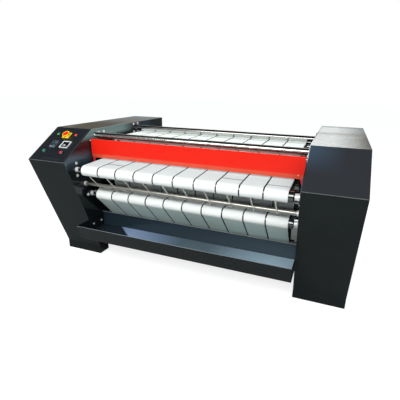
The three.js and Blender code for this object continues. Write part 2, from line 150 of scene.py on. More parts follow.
def sign(operation, swapped=False):
    """A method that adds one Math node. Swapped, it is the reflected form, for 1 - mask."""
    def apply(self, other):
        node = self.tree.nodes.new("ShaderNodeMath")
        node.operation = operation
        for socket, value in zip(node.inputs, (other, self) if swapped else (self, other)):
            connect(self.tree, socket, value)
        return Value(self.tree, node.outputs[0])
    return apply


class Value:
    def __init__(self, tree, socket):
        self.tree = tree
        self.socket = socket

    __add__, __radd__ = sign("ADD"), sign("ADD", True)
    __sub__, __rsub__ = sign("SUBTRACT"), sign("SUBTRACT", True)
    __mul__, __rmul__ = sign("MULTIPLY"), sign("MULTIPLY", True)
    __gt__ = sign("GREATER_THAN")


# %% A finish
TOP_FROM, TOP_FULL = 0.93, 0.99


class Finish:
    def __init__(self, name, color, roughness, metallic=0.0, **constants):
        self.material = bpy.data.materials.new(name)
        self.material.use_nodes = True
        self.tree = self.material.node_tree
        self.shader = self.tree.nodes["Principled BSDF"]
        if color:
            self.set("Base Color", (*color, 1.0))
        self.set("Roughness", roughness)
        self.set("Metallic", metallic)
        for socket, value in constants.items():
            self.set(socket.replace("_", " ").title().replace("Ior", "IOR"), value)

    def set(self, socket, value):
        connect(self.tree, self.shader.inputs[socket], value)

    def node(self, kind, settings=None, sockets=None, out=0):
        made = self.tree.nodes.new("ShaderNode" + kind)
        for key, value in (settings or {}).items():
            setattr(made, key, value)
        for key, value in (sockets or {}).items():
            connect(self.tree, made.inputs[key], value)
        return Value(self.tree, made.outputs[out])

    def place(self):
        return self.node("TexCoord", out="Object")

    def axis(self, name):
        return self.node("SeparateXYZ", sockets={0: self.place()}, out=name)

    def noise(self, scale, detail=3.0, stretch=(1, 1, 1)):
        spot = self.node("Mapping", sockets={"Vector": self.place(), "Scale": stretch})
        return self.node("TexNoise", sockets={"Vector": spot, "Scale": scale, "Detail": detail})

    def spread(self, value, low, high, start=0.0, end=1.0):
        ends = {"From Min": low, "From Max": high, "To Min": start, "To Max": end}
        return self.node("MapRange", sockets={"Value": value, **ends})

    def along(self, name, low, high):
        """A mask that rises from low to high along an axis, or falls where low is the larger."""
        return self.spread(self.axis(name), low, high)

    def facing_up(self, low=TOP_FROM, high=TOP_FULL):
        """A mask of the faces that look up: 0 stands for an upright face, 1 for a level one."""
        normal = self.node("NewGeometry", out="Normal")
        return self.spread(self.node("SeparateXYZ", sockets={0: normal}, out="Z"), low, high)

    def cloud(self, scale, detail, start=0.0, end=1.0):
        return self.spread(self.noise(scale, detail), 0.3, 0.7, start, end)

    def blend(self, first, *layers):
        """A colour with others laid over it, each through its mask. Any may be a blend itself."""
        for mask, second in layers:
            sockets = {"Factor": mask}
            for key, color in ((6, first), (7, second)):
                sockets[key] = color if isinstance(color, Value) else (*color, 1.0)
            first = self.node("Mix", {"data_type": "RGBA"}, sockets, out=2)
        return first

    def bump(self, height, distance, strength=1.0):
        sockets = {"Height": height, "Distance": distance, "Strength": strength}
        self.set("Normal", self.node("Bump", sockets=sockets))


# %% [markdown]
# The sky is made with the same arithmetic. Rays from the camera, from a polished face or through
# glass find it white, and all other rays find the dimmer, slightly tinted light of the studio.

# %% The sky
world = bpy.data.worlds.new("studio")
bpy.context.scene.world = world
world.use_nodes = True
sky = world.node_tree
sky.nodes.clear()
SKY_LIGHT = 0.44
SKY_COLOR = (0.90, 1.0, 0.97, 1)


def sky_layer(strength, color):
    layer = sky.nodes.new("ShaderNodeBackground")
    layer.inputs["Strength"].default_value = strength
    layer.inputs["Color"].default_value = color
    return layer


rays = sky.nodes.new("ShaderNodeLightPath")
seen = Value(sky, rays.outputs["Is Camera Ray"]) + Value(sky, rays.outputs["Is Glossy Ray"])
seen = seen + Value(sky, rays.outputs["Is Transmission Ray"])
mixed = sky.nodes.new("ShaderNodeMixShader")
sky.links.new((seen > 0.5).socket, mixed.inputs[0])
sky.links.new(sky_layer(SKY_LIGHT, SKY_COLOR).outputs[0], mixed.inputs[1])
sky.links.new(sky_layer(1.0, (1, 1, 1, 1)).outputs[0], mixed.inputs[2])
sky_output = sky.nodes.new("ShaderNodeOutputWorld")
sky.links.new(mixed.outputs[0], sky_output.inputs[0])

# %% [markdown]
# ## Finishes
# Painted sheet metal isn't flat: sprayed paint has a faint orange peel, and powder coat a finer
# one. The peel is a bump of noise a few millimetres across. Dust and handling vary the gloss, so
# a wide, slow noise feeds the roughness.


# %% Paint
def sprayed(name, roughness, peel, peel_scale, specular=0.5):
    """Paint with its peel and its uneven gloss, still without a colour."""
    finish = Finish(name, None, roughness, specular_ior_level=specular)
    finish.set("Roughness", finish.cloud(3.5, 4, roughness, roughness + 0.05))
    finish.bump(finish.noise(peel_scale, 2), peel)
    return finish


def painted(name, color, *coat):
    """Paint of one colour, a little lighter and darker in clouds."""
    finish = sprayed(name, *coat)
    darker = [c * 0.9 for c in color]
    lighter = [min(1, c * 1.1 + 0.001) for c in color]
    finish.set("Base Color", finish.blend(darker, (finish.cloud(7, 5), lighter)))
    return finish


def lacquered_tops(finish, amount, share=1.0):
    """Clear lacquer on the faces that look straight up, in faint patches."""
    patches = finish.spread(finish.noise(26, 6), 0.35, 0.65, 0.35 * amount, amount)
    finish.set("Coat Weight", finish.facing_up() * patches * share)
    finish.set("Coat Roughness", 0.12)


def near(value, goal, half_width):
    """A mask that is 1 within half_width of the goal."""
    return (value > goal - half_width) * (goal + half_width - value > 0)


# %% [markdown]
# The cabinets have a dark powder coat. Their tops and sloping faces mirror a bright room, which a
# studio sky alone doesn't give, so that room is painted into their colour as a sheen: warm on the
# tops and greyer towards the rear, with lighter streaks, and bluish high on the right-hand slope.
# The right-hand top also gets a lacquer and painted window light, speckled with dust, that fade
# towards its outer and rear edges and are crossed by a band of painted shadow. So the left-hand
# top stays duller and warmer. A thin painted highlight runs along the nose.

# %% Cabinet paint
NOSE_LINE = 0.0016
casing_paint = Finish("casing_paint", None, 0.30, specular_ior_level=0.16)
casing_paint.bump(casing_paint.noise(600, 2), 0.00006)
right_hand = casing_paint.along("X", -0.9, 0.9)
# Where the right-hand top gets painted window light, and a band of painted shadow across it.
bright = casing_paint.along("X", 1.24, 1.00) * right_hand * casing_paint.along("Y", 0.80, 0.62)
painted_shadow_band = casing_paint.along("Y", 0.34, 0.22) * casing_paint.along("Y", 0.10, 0.20)
bright = bright * (1 - painted_shadow_band * 0.45)
lacquered_tops(casing_paint, 0.9, 0.09 + 0.91 * bright)
level = casing_paint.facing_up()
casing_paint.set("Roughness", casing_paint.cloud(3.5, 4, 0.30, 0.35) + level * (1 - bright) * 0.45)
# A bluish painted sheen high on the slope of the right-hand cabinet.
blue_slope_reflection = casing_paint.along("X", 1.10, 0.90) * right_hand * casing_paint.along("Z", 1.00, 1.10)
# Streaks in the painted sheen of the tops, and specks of dust in the painted window light.
reflection_streaks = casing_paint.spread(casing_paint.noise(2.6, 3, (1.6, 0.5, 1)), 0.50, 0.68)
dust_specks_in_reflection = casing_paint.spread(casing_paint.noise(330, 4), 0.42, 0.64)
# A thin painted highlight along the nose of both cabinets.
nose_highlight = near(casing_paint.axis("Z"), nose.z, NOSE_LINE)
nose_highlight = nose_highlight * (nose.y + 0.006 - casing_paint.axis("Y") > 0)
# Painted sheen of a bright room on the sloping faces and on the tops.
painted_slope_sheen = casing_paint.blend((0.0240, 0.0255, 0.0310), (blue_slope_reflection, (0.036, 0.056, 0.085)))
painted_top_sheen = casing_paint.blend(
    (0.052, 0.040, 0.020),
    (casing_paint.along("Y", -0.05, 0.55), (0.200, 0.225, 0.240)),
    (reflection_streaks * 0.7, (0.170, 0.145, 0.105)),
    (bright * (0.35 + dust_specks_in_reflection * 0.65), (0.66, 0.72, 0.72)),
)
casing_paint.set("Base Color", casing_paint.blend(
    (0.0085, 0.0118, 0.0128),
    (casing_paint.cloud(7, 5), (0.0108, 0.0142, 0.0155)),
    (casing_paint.facing_up(0.35, 0.50), painted_slope_sheen),
    (level, painted_top_sheen),
    (nose_highlight, (0.115, 0.125, 0.125)),
))

# %% [markdown]
# The inner side plates are glossier. Their upper part gets a painted reflection of the pale room: a
# lighter tone, a broad pale strip, a slate tone behind it, and a blue patch by the nose. The
# control panel is a plate of its own. Painted highlight lines mark its ends, and one more stands
# for a groove near its lower edge.

# %% Plate and panel paint
plate_paint = sprayed("plate_paint", 0.12, 0.00002, 60, 0.45)
# Painted reflection of the pale room on the upper part of the plates.
upper_reflection = plate_paint.along("Z", 0.98, 1.08)
slate_reflection = plate_paint.along("Y", 0.10, 0.20) * plate_paint.along("Y", 0.56, 0.46) * upper_reflection
pale_reflection_strip = plate_paint.along("Y", 0.22, 0.00) * plate_paint.along("Z", 1.045, 1.085)
blue_reflection_by_nose = plate_paint.along("Y", -0.44, -0.53) * plate_paint.along("Z", 0.995, 0.945)
plate_paint.set("Base Color", plate_paint.blend(
    (0.0060, 0.0085, 0.0100),
    (upper_reflection, (0.024, 0.028, 0.028)),
    (slate_reflection, (0.038, 0.052, 0.072)),
    (pale_reflection_strip, (0.165, 0.245, 0.240)),
    (blue_reflection_by_nose * plate_paint.along("Z", 0.83, 0.91), (0.050, 0.070, 0.095)),
))
panel_paint = sprayed("panel_paint", 0.34, 0.00003, 700, 0.22)
GROOVE_HEIGHT = nose.z + 0.032 * math.sin(slope_angle)
# A painted highlight line stands for a groove near the lower edge.
groove = near(panel_paint.axis("Z"), GROOVE_HEIGHT, 0.0008)
groove = groove * near(panel_paint.axis("X"), -1.022, 0.084)
# Painted highlight lines along both ends of the panel.
panel_end_highlights = panel_paint.axis("X") > -cabinet_inner - 0.0096
panel_end_highlights = panel_end_highlights + (-cabinet_outer + 0.0092 - panel_paint.axis("X") > 0)
panel_paint.set("Base Color", panel_paint.blend(
    (0.0120, 0.0145, 0.0180),
    (groove, (0.050, 0.055, 0.058)),
    (panel_end_highlights, (0.060, 0.060, 0.058)),
))
motor_paint = painted("motor_paint", (0.045, 0.070, 0.100), 0.4, 0.00004, 260)

# %% [markdown]
# The guard's skirt, which leans towards the pale belts, gets a lighter painted reflection of them,
# and the two legs under it a deeper painted shade. The tray is painted a deep blue inside, with
# painted shade towards its left-hand end. Its floor carries painted light from the right, which
# falls off into painted shade towards the left-hand end along a slanted line, with pale specks.

# %% Guard and tray paint
SKIRT_TOP = 0.942
stud_paint = Finish("stud_paint", (0.92, 0.30, 0.16), 0.25)
guard_paint = sprayed("guard_paint", 0.22, 0.00003, 160, 0.35)
# Painted reflection of the belts on the skirt, and painted shade on the legs.
guard_paint.set("Base Color", guard_paint.blend(
    (0.755, 0.015, 0.0055),
    (guard_paint.along("Z", SKIRT_TOP + 0.003, SKIRT_TOP - 0.006), (0.71, 0.078, 0.035)),
    (guard_paint.along("Z", SKIRT_TOP - 0.030, SKIRT_TOP - 0.036), (0.60, 0.028, 0.040)),
))
lacquered_tops(guard_paint, 1.0)

tray_paint = sprayed("tray_paint", 0.16, 0.00002, 90)
# Painted shade darkens the tray towards its left-hand end.
tray_paint.set("Base Color", tray_paint.blend(
    (0.015, 0.026, 0.036), (tray_paint.along("X", -0.6, 0.8), (0.040, 0.058, 0.074))))
tray_front_paint = painted("tray_front_paint", (0.0095, 0.0120, 0.0130), 0.26, 0.00003, 90, 0.2)
# The pale tops of the hems are a painted highlight.
tray_edge_highlight = painted("tray_edge_highlight", (0.22, 0.25, 0.27), 0.25, 0.00002, 90)

LIT_FROM = -0.676
LIT_BACK = 0.381
LIT_SLANT = 1.14
tray_floor_paint = sprayed("tray_floor_paint", 0.22, 0.00003, 90)
# Painted light on the tray floor: lit from the right up to a slanted line, painted shade beyond it.
lit_line = tray_floor_paint.axis("X") - LIT_FROM
lit_line = lit_line + (tray_floor_paint.axis("Y") + LIT_BACK) * LIT_SLANT
near_end = tray_floor_paint.along("X", 0.20, 0.70)
specks = tray_floor_paint.spread(tray_floor_paint.noise(420, 4), 0.50, 0.62)
lit_color = tray_floor_paint.blend(
    (0.24, 0.33, 0.52),
    (tray_floor_paint.along("X", -0.50, -0.05), (0.050, 0.088, 0.118)),
    (near_end, (0.24, 0.36, 0.46)),
    (specks * (0.12 + near_end * 0.5), (0.62, 0.74, 0.80)),
)
lit_part = tray_floor_paint.spread(lit_line, -0.012, 0.012)
tray_floor_paint.set("Base Color", tray_floor_paint.blend(
    (0.012, 0.018, 0.026), (lit_part, lit_color)))

# %% [markdown]
# Chrome and steel mirror the room. A polished tube only needs a low roughness with faint hazy
# patches. A turned roller has fine rings: noise that is squeezed along X and stretched round it.
# The bands on the two cross tubes mirror parts of the room that this studio lacks, so a mask of
# how far the face looks up lays them on: a dark upper side, and a reddish underside on the front
# tube, where it mirrors the guard.


# %% Metals
def metal(name, color, roughness, haze=0.06):
    finish = Finish(name, color, roughness, 1.0)
    finish.set("Roughness", finish.cloud(9, 4, roughness, roughness + haze))
    return finish


def turned_steel(name, color, roughness, ring_scale):
    finish = Finish(name, color, roughness, 1.0)
    rings = finish.noise(ring_scale, 2, (1, 0.02, 0.02))
    finish.set("Roughness", finish.spread(rings, 0.3, 0.7, roughness, roughness + 0.12))
    finish.bump(rings, 0.00003)
    return finish


def plated(name, color, scale, roughness, rougher, metallic=0.40):
    finish = Finish(name, color, roughness, metallic)
    finish.set("Roughness", finish.cloud(scale, 3, roughness, rougher))
    return finish


tube_chrome = metal("tube_chrome", None, 0.17, 0.04)
tube_chrome.set("Metallic", 0.88)
tube_chrome.set("Base Color", tube_chrome.blend(
    (0.92, 0.90, 0.87),
    (tube_chrome.facing_up(0.30, 0.42), (0.10, 0.10, 0.09)),
    (tube_chrome.facing_up(-0.05, -0.18), (0.22, 0.100, 0.088)),
    (tube_chrome.facing_up(-0.55, -0.72), (0.60, 0.34, 0.30)),
))
dull_chrome = metal("dull_chrome", None, 0.16, 0.03)
dull_chrome.set("Base Color", dull_chrome.blend(
    (0.62, 0.62, 0.61), (dull_chrome.facing_up(0.05, 0.45), (0.085, 0.085, 0.080))))
roller_steel = turned_steel("roller_steel", (0.17, 0.175, 0.175), 0.16, 900)
cylinder_steel = turned_steel("cylinder_steel", (0.24, 0.235, 0.22), 0.14, 500)
bearing_iron = metal("bearing_iron", (0.10, 0.105, 0.11), 0.45)
bezel_chrome = metal("bezel_chrome", (0.10, 0.11, 0.12), 0.3)
bolt_zinc = plated("bolt_zinc", (0.84, 0.85, 0.86), 40, 0.30, 0.44)
hub_chrome = plated("hub_chrome", (0.88, 0.89, 0.89), 30, 0.26, 0.42)
rod_steel = plated("rod_steel", (0.52, 0.505, 0.455), 12, 0.32, 0.37, 1.0)
finger_steel = Finish("finger_steel", (0.70, 0.71, 0.60), 0.35)
finger_steel.bump(finger_steel.noise(900, 2, (1, 1, 0.1)), 0.00003)
lacing_wire = Finish("lacing_wire", (0.15, 0.155, 0.15), 0.5, specular_ior_level=0.4)
lacing_wire.bump(lacing_wire.noise(1200, 2), 0.00003)

# %% [markdown]
# Needle felt is a mat of fibres. Two layers of noise stand for them: a fine one for the fibres
# and a coarse one for the lumps, and a slow one tints the felt a little where it has been used.
# Its back and its cut edges are a dark weave. Painted light and shade go on the felt by the
# height or the depth in the machine: painted shade on the top run of the feed belts and, greyer
# and greener, on the underside of the return conveyor; painted light on the nose of the return
# belts and on the top run of the ironing belts; and painted shade with a red painted reflection
# of the guard where these turn down to the cylinder.

# %% Felt
belt_felt = Finish("belt_felt", None, 0.9, specular_ior_level=0.15, sheen_weight=0.12)
felt_z = belt_felt.axis("Z")
felt_y = belt_felt.axis("Y")
used = belt_felt.spread(belt_felt.noise(5, 3), 0.35, 0.7)
# Painted shade on the top run of the feed belts.
feed_top_shade = belt_felt.facing_up(0.60, 0.95) * near(felt_z, 0.885, 0.05)
# Painted light on the nose of the return belts.
return_nose_light = near(felt_z, 0.610, 0.035) * (-0.42 - felt_y > 0)
# Painted shade with a red painted reflection of the guard, where the ironing belts turn down.
shade_and_guard_reflection = belt_felt.spread(felt_y, -0.120, -0.150) * belt_felt.spread(felt_z, 1.0050, 1.0095)
belt_felt.set("Base Color", belt_felt.blend(
    (0.79, 0.815, 0.82),
    (used, (0.74, 0.765, 0.765)),
    (feed_top_shade, (0.69, 0.705, 0.71)),
    (return_nose_light, (0.86, 0.885, 0.87)),
    # Painted shade on the underside of the return conveyor, painted light on the top run of the
    # ironing belts.
    (belt_felt.spread(felt_z, 0.578, 0.560), (0.50, 0.625, 0.59)),
    (belt_felt.spread(felt_z, 1.030, 1.045), (0.93, 0.98, 0.955)),
    (shade_and_guard_reflection, (0.30, 0.165, 0.145)),
))
fibres = belt_felt.noise(1700, 3, (1, 0.35, 0.35))
belt_felt.bump(fibres * 0.6 + belt_felt.noise(95, 4), 0.0006, 0.7)
belt_backing = Finish("belt_backing", (0.10, 0.105, 0.10), 0.95, specular_ior_level=0.1)
belt_backing.bump(belt_backing.noise(1400, 3), 0.0003, 0.6)

# %% [markdown]
# Switch, buttons, lamps and instruments are moulded plastic. The colour goes right through it, so
# it is the same all over. A fine grain from the mould breaks the gloss a little.


# %% Plastics
def moulded(name, color, roughness=0.3):
    finish = Finish(name, color, roughness)
    finish.set("Roughness", finish.cloud(60, 3, roughness, roughness + 0.08))
    finish.bump(finish.noise(1500, 2), 0.00002)
    return finish


switch_yellow = moulded("switch_yellow", (0.90, 0.60, 0.010))
red_plastic = moulded("red_plastic", (0.78, 0.018, 0.006))
stop_plastic = moulded("stop_plastic", (0.62, 0.030, 0.075))
green_plastic = moulded("green_plastic", (0.010, 0.32, 0.070), 0.2)
start_plastic = moulded("start_plastic", (0.035, 0.24, 0.16), 0.25)
controller_plastic = moulded("controller_plastic", (0.085, 0.110, 0.150), 0.4)
display_plastic = moulded("display_plastic", (0.74, 0.78, 0.76), 0.4)
screen_glass = moulded("screen_glass", (0.008, 0.010, 0.018), 0.08)
digit_white = moulded("digit_white", (0.85, 0.87, 0.88), 0.4)
digit_green = moulded("digit_green", (0.16, 0.30, 0.26), 0.4)
print("finishes:", len(bpy.data.materials))

# %% [markdown]
# ## Shapes from operators
# Each helper starts from a few points or one of the create operators and returns a small mesh of
# its own, so that it can be bevelled without touching its neighbours. `piece` joins such parts to
# one object, smooths what is round and keeps the creases.

# %% Helpers for shapes
CREASE = math.radians(32)
TOUCH = 1e-5  # what lies closer than this is in the same place
HAIR = 0.0002  # keeps two faces out of one plane
EDGE = 0.001  # a small chamfer
X_WAY, Z_WAY = Vector((1, 0, 0)), Vector((0, 0, 1))


def settled(bm):
    bmesh.ops.remove_doubles(bm, verts=bm.verts, dist=1e-6)
    bmesh.ops.recalc_face_normals(bm, faces=bm.faces)
    return bm


def rounded(bm, by, edges=None, steps=2):
    if by:
        geometry = list(edges if edges is not None else bm.edges)
        bmesh.ops.bevel(bm, geom=geometry, offset=by, segments=steps, profile=0.5,
                        affect="EDGES", clamp_overlap=True, material=-1)
    return settled(bm)


def facing(at, out):
    """A place with its own Z pointing along out."""
    return Matrix.Translation(at) @ Vector(out).to_track_quat("Z", "Y").to_matrix().to_4x4()


def frame_of(at, *axes):
    """A place with its own X, Y and Z along the three axes."""
    return Matrix.Translation(at) @ Matrix(axes).transposed().to_4x4()


def on_x(y, z):
    """A place at (y, z) with its own Z pointing along X, for what turns about X."""
    return Matrix.Translation((0, y, z)) @ Matrix.Rotation(math.pi / 2, 4, "Y")


def across(x):
    """A place at x whose own X and Y are the machine's Y and Z, facing along X."""
    return frame_of((x, 0, 0), (0, 1, 0), (0, 0, 1), (1, 0, 0))


def block(low, high, by=0.0, place=Matrix()):
    low, high = Vector(low), Vector(high)
    bm = bmesh.new()
    grow = Matrix.Diagonal((*(high - low), 1.0))
    bmesh.ops.create_cube(bm, size=1, matrix=place @ Matrix.Translation((low + high) / 2) @ grow)
    return rounded(bm, by)


def turned(profile, place, steps=48):
    """A profile of (along, radius) points, spun round the place's own Z."""
    bm = bmesh.new()
    points = [bm.verts.new(place @ Vector((radius, 0, along))) for along, radius in profile]
    lines = [bm.edges.new(pair) for pair in zip(points, points[1:])]
    bmesh.ops.spin(bm, geom=points + lines, cent=place.translation, axis=place.to_3x3() @ Z_WAY,
                   angle=2 * math.pi, steps=steps, use_merge=True)
    return settled(bm)


def ring(profile, at, side=1, steps=40):
    """A closed profile of (x, radius) points, turned about X on one side of the machine."""
    points = [(side * x, radius) for x, radius in profile]
    return turned(points + points[:1], on_x(at.y, at.z), steps)


def drawn(outline, place, depth, by=0.0):
    """A flat outline of (x, y) points in the place, drawn out along the place's own Z."""
    bm = bmesh.new()
    face = bm.faces.new([bm.verts.new(place @ Vector((x, y, 0))) for x, y in outline])
    grown = bmesh.ops.extrude_face_region(bm, geom=[face])["geom"]
    moved = [g for g in grown if isinstance(g, bmesh.types.BMVert)]
    bmesh.ops.translate(bm, verts=moved, vec=place.to_3x3() @ Vector((0, 0, depth)))
    return rounded(settled(bm), by)


def widened(bm, edges, by):
    """Edges drawn out along X. Returns the edges at the far end."""
    grown = bmesh.ops.extrude_edge_only(bm, edges=edges)["geom"]
    moved = [g for g in grown if isinstance(g, bmesh.types.BMVert)]
    bmesh.ops.translate(bm, verts=moved, vec=(by, 0, 0))
    drawn_edges = [g for g in grown if isinstance(g, bmesh.types.BMEdge)]
    return [edge for edge in drawn_edges if all(v in moved for v in edge.verts)]


def folded(line, x0, x1, thickness, fold=0.005):
    """A line of (y, z) corners, drawn out along X as sheet metal with rounded folds."""
    bm = bmesh.new()
    points = [bm.verts.new((x0, y, z)) for y, z in line]
    widened(bm, [bm.edges.new(pair) for pair in zip(points, points[1:])], x1 - x0)
    rounded(bm, fold, [e for e in bm.edges if len(e.link_faces) == 2], 4)
    bmesh.ops.solidify(bm, geom=bm.faces, thickness=thickness)
    return settled(bm)


# %% Join parts to a piece
sheet_and_turned = []


def added(name, bm, finish):
    """A mesh made an object of the scene, with its finish."""
    mesh = bpy.data.meshes.new(name)
    bm.to_mesh(mesh)
    bm.free()
    mesh.materials.append(finish.material)
    made = bpy.data.objects.new(name, mesh)
    bpy.context.scene.collection.objects.link(made)
    return made


def joined(parts):
    whole = bmesh.new()
    for part in parts:
        mesh = bpy.data.meshes.new("part")
        part.to_mesh(mesh)
        part.free()
        whole.from_mesh(mesh)
        bpy.data.meshes.remove(mesh)
    return whole


def piece(name, parts, finish, body=MACHINE, stands_for=()):
    bm = joined(parts)
    for face in bm.faces:
        face.smooth = True
    for edge in bm.edges:
        edge.smooth = len(edge.link_faces) != 2 or edge.calc_face_angle() < CREASE
    made = added(name, bm, finish)
    if finish is not belt_felt:
        sheet_and_turned.append(made)
    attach(made, body)
    if stands_for:
        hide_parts(*stands_for)
    return made


# %% [markdown]
# ## Fasteners
# A hexagon bolt is a six-sided head on a round washer, and a small chamfer on the head catches
# the light. A cover screw has a low round head with a driver's slot.


# %% Bolts and screws
def pin(start, end, radius, place, steps):
    """A plain round bar, from start to end along the place's own Z."""
    return turned([(start, 0), (start, radius), (end, radius), (end, 0)], place, steps)


def hex_bolts(places, out, size=0.009):
    parts = []
    washer = 0.22 * size
    for at in places:
        place = facing(at, out)
        head = bmesh.new()
        bmesh.ops.create_cone(head, cap_ends=True, segments=6, radius1=size, radius2=size,
                              depth=0.7 * size,
                              matrix=place @ Matrix.Translation((0, 0, washer + 0.35 * size)))
        parts += [pin(0, washer, 1.35 * size, place, 24), rounded(head, 0.1 * size)]
    return parts


def round_screws(places, out, size=0.006):
    parts = []
    dome = [(0, 0), (0, 1), (0.25, 0.95), (0.5, 0.6), (0.55, 0)]
    dome = [(along * size, radius * size) for along, radius in dome]
    slot_low, slot_high = Vector((-0.7, -0.12, 0.3)) * size, Vector((0.7, 0.12, 0.56)) * size
    for at in places:
        place = facing(at, out)
        parts += [turned(dome, place, 20), block(slot_low, slot_high, 0, place)]
    return parts


# %% [markdown]
# ## End cabinets
# Each cabinet is a shell of folded sheet that is open towards its side plate. Its outline is
# drawn once and drawn out along X, the folds get a small radius, and only then does the sheet get
# its thickness. On the outer side a groove marks the cover that comes off for service.

# %% Outline of the cabinets
FOOT_HEIGHT = 0.080
FOOT_DEPTH = 0.122
FOOT_FORWARD = 0.028
SHEET = 0.002

front = top_front.y - FOOT_FORWARD
rear_foot = cabinet_rear - FOOT_DEPTH
cabinet_outline = [
    (front, 0),
    (front + FOOT_DEPTH, 0),
    (front + FOOT_DEPTH, FOOT_HEIGHT),
    (rear_foot, FOOT_HEIGHT),
    (rear_foot, 0),
    (cabinet_rear, 0),
    (cabinet_rear, cabinet_top),
    (top_front.y, cabinet_top),
    (nose.y, nose.z),
    (front, FOOT_HEIGHT),
]

# %% Casings
SHEET_FOLD = 0.003
COVER_RIM = 0.016
COVER_GROOVE = 0.0015
GROOVE_DEPTH = 0.0012
FOLD_ANGLE = math.radians(12)


def faces_at(bm, x):
    return [f for f in bm.faces if abs(abs(f.calc_center_median().x) - x) < TOUCH]


def x_length(edge):
    return abs(edge.verts[0].co.x - edge.verts[1].co.x)


def casing(side):
    depth = side * (cabinet_outer - cabinet_inner)
    bm = drawn(cabinet_outline, across(side * cabinet_inner), depth)
    bmesh.ops.delete(bm, geom=faces_at(bm, cabinet_inner), context="FACES_ONLY")
    bmesh.ops.recalc_face_normals(bm, faces=bm.faces)
    cover = faces_at(bm, cabinet_outer)
    bmesh.ops.inset_region(bm, faces=cover, thickness=COVER_RIM, depth=0)
    for step in (-GROOVE_DEPTH, GROOVE_DEPTH):
        bmesh.ops.inset_region(bm, faces=cover, thickness=COVER_GROOVE, depth=step)

    def on_rim(edge):
        by_cover = any(f in cover for f in edge.link_faces)
        outside = max(abs(v.co.x) for v in edge.verts) - cabinet_outer > -TOUCH
        return outside and not by_cover and edge.calc_face_angle() > FOLD_ANGLE

    folds = [e for e in bm.edges if len(e.link_faces) == 2 and (x_length(e) > 0.1 or on_rim(e))]
    return rounded(bm, SHEET_FOLD, folds, 3)


for side, word in SIDES:
    shell = piece(f"{word}_cabinet_casing", [casing(side)], casing_paint,
                  stands_for=[f"{word}_casing"])
    thicken = shell.modifiers.new("sheet", "SOLIDIFY")
    thicken.thickness = SHEET
    thicken.offset = -1
    print(shell.name, "faces", len(shell.data.polygons))

# %% [markdown]
# The covers are held by screws along their edges. Their places are worked out from the corners of
# the outline, a little way inside them.

# %% Cover screws
MARGIN = 0.035
HEAD_SUNK = 0.0005
screw_places = [
    (cabinet_rear - MARGIN, FOOT_HEIGHT + MARGIN),
    (cabinet_rear - MARGIN, cabinet_top / 2),
    (cabinet_rear - MARGIN, cabinet_top - MARGIN),
    (0.0, FOOT_HEIGHT + MARGIN),
    (0.0, cabinet_top - MARGIN),
    (top_front.y + MARGIN, cabinet_top - MARGIN),
    (nose.y + 2.2 * MARGIN, nose.z),
    (front + MARGIN, FOOT_HEIGHT + MARGIN),
]
for side, word in SIDES:
    places = [(side * (cabinet_outer - HEAD_SUNK), y, z) for y, z in screw_places]
    piece(f"{word}_cover_screws", round_screws(places, (side, 0, 0)), bolt_zinc)

# %% [markdown]
# ## Side plates, bearings and shafts
# The inner side plates are painted a deep gloss, so the belts mirror in them. Every shaft runs in
# a bearing whose ring stands off the plate, and the heads of its two bolts show beside it. The
# rings of the front rollers are plated and stay bright.

# %% Side plates
PLATE_GAP = 0.0003
PLATE_EDGE = 0.0012
for side, word in SIDES:
    plate = drawn(cabinet_outline, across(side * plate_face),
                  side * (cabinet_inner - plate_face - PLATE_GAP))
    rounded(plate, PLATE_EDGE, [e for e in plate.edges if x_length(e) < TOUCH])
    piece(f"{word}_side_plate", [plate], plate_paint,
          stands_for=[f"{word}_side_frame"])

# %% Bearings
ROLLERS = {f"{body}_roller": body for body in (
    "feed_front", "feed_rear", "press_top_front", "press_top_rear", "press_bottom_front",
    "press_bottom_rear", "return_front", "return_rear", "return_tension")}
BRIGHT_HUBS = ("feed_front_roller", "return_front_roller", "press_top_front_roller")
BEARING_DEPTH = {-1: 0.023, 1: 0.016}
BEARING_RADIUS = {-1: 0.0185, 1: 0.0245}
BEARING_FOOT = 0.003
BEARING_CHAMFER = 0.0015
SHAFT_RADIUS = 0.012
SHAFT_GAP = 0.0006
EAR_REACH = 0.050
EAR_BOLT = 0.0095


def bearing_ring(node, side):
    back, face = plate_face - HAIR, plate_face - BEARING_DEPTH[side]
    bore, radius = SHAFT_RADIUS + SHAFT_GAP, BEARING_RADIUS[side]
    foot = radius + BEARING_FOOT
    return ring([
        (back, bore), (back, foot), (plate_face - 0.004, foot), (plate_face - 0.006, radius),
        (face + BEARING_CHAMFER, radius), (face, radius - BEARING_CHAMFER), (face, bore),
    ], middle(node), side)


def bearing_ears(node, side):
    """The places of the two bolts, above and below the shaft or before and behind it."""
    at = middle(node)
    along_y, along_z = (EAR_REACH, 0) if node.startswith("return") else (0, EAR_REACH)
    return [(side * plate_face, at.y + way * along_y, at.z + way * along_z) for way in (-1, 1)]


for side, word in SIDES:
    bright = [bearing_ring(node, side) for node in BRIGHT_HUBS]
    piece(f"{word}_bearing_rings", bright, hub_chrome)
    inner = [bearing_ring(node, side) for node in ROLLERS if node not in BRIGHT_HUBS]
    piece(f"{word}_inner_bearings", inner, bearing_iron)
    ears = [ear for node in ROLLERS for ear in bearing_ears(node, side)]
    piece(f"{word}_bearing_bolts", hex_bolts(ears, (-side, 0, 0), EAR_BOLT), bolt_zinc)

# %% [markdown]
# A roller is turned from one profile: shaft, chamfered barrel, shaft. The barrel's end is dished,
# so the profile steps inwards there. A bright collar locks a front roller's shaft on the right.

# %% Rollers
COLLAR_RADIUS = 0.0235
COLLAR_GAP = 0.004
BARREL_CHAMFER = 0.002
BARREL_DISH = 0.006


def barrel_ends(node):
    at = middle(node)
    barrel = [p.x for p in points_of(node)
              if math.hypot(p.y - at.y, p.z - at.z) > 2 * SHAFT_RADIUS - EDGE]
    return min(barrel), max(barrel)


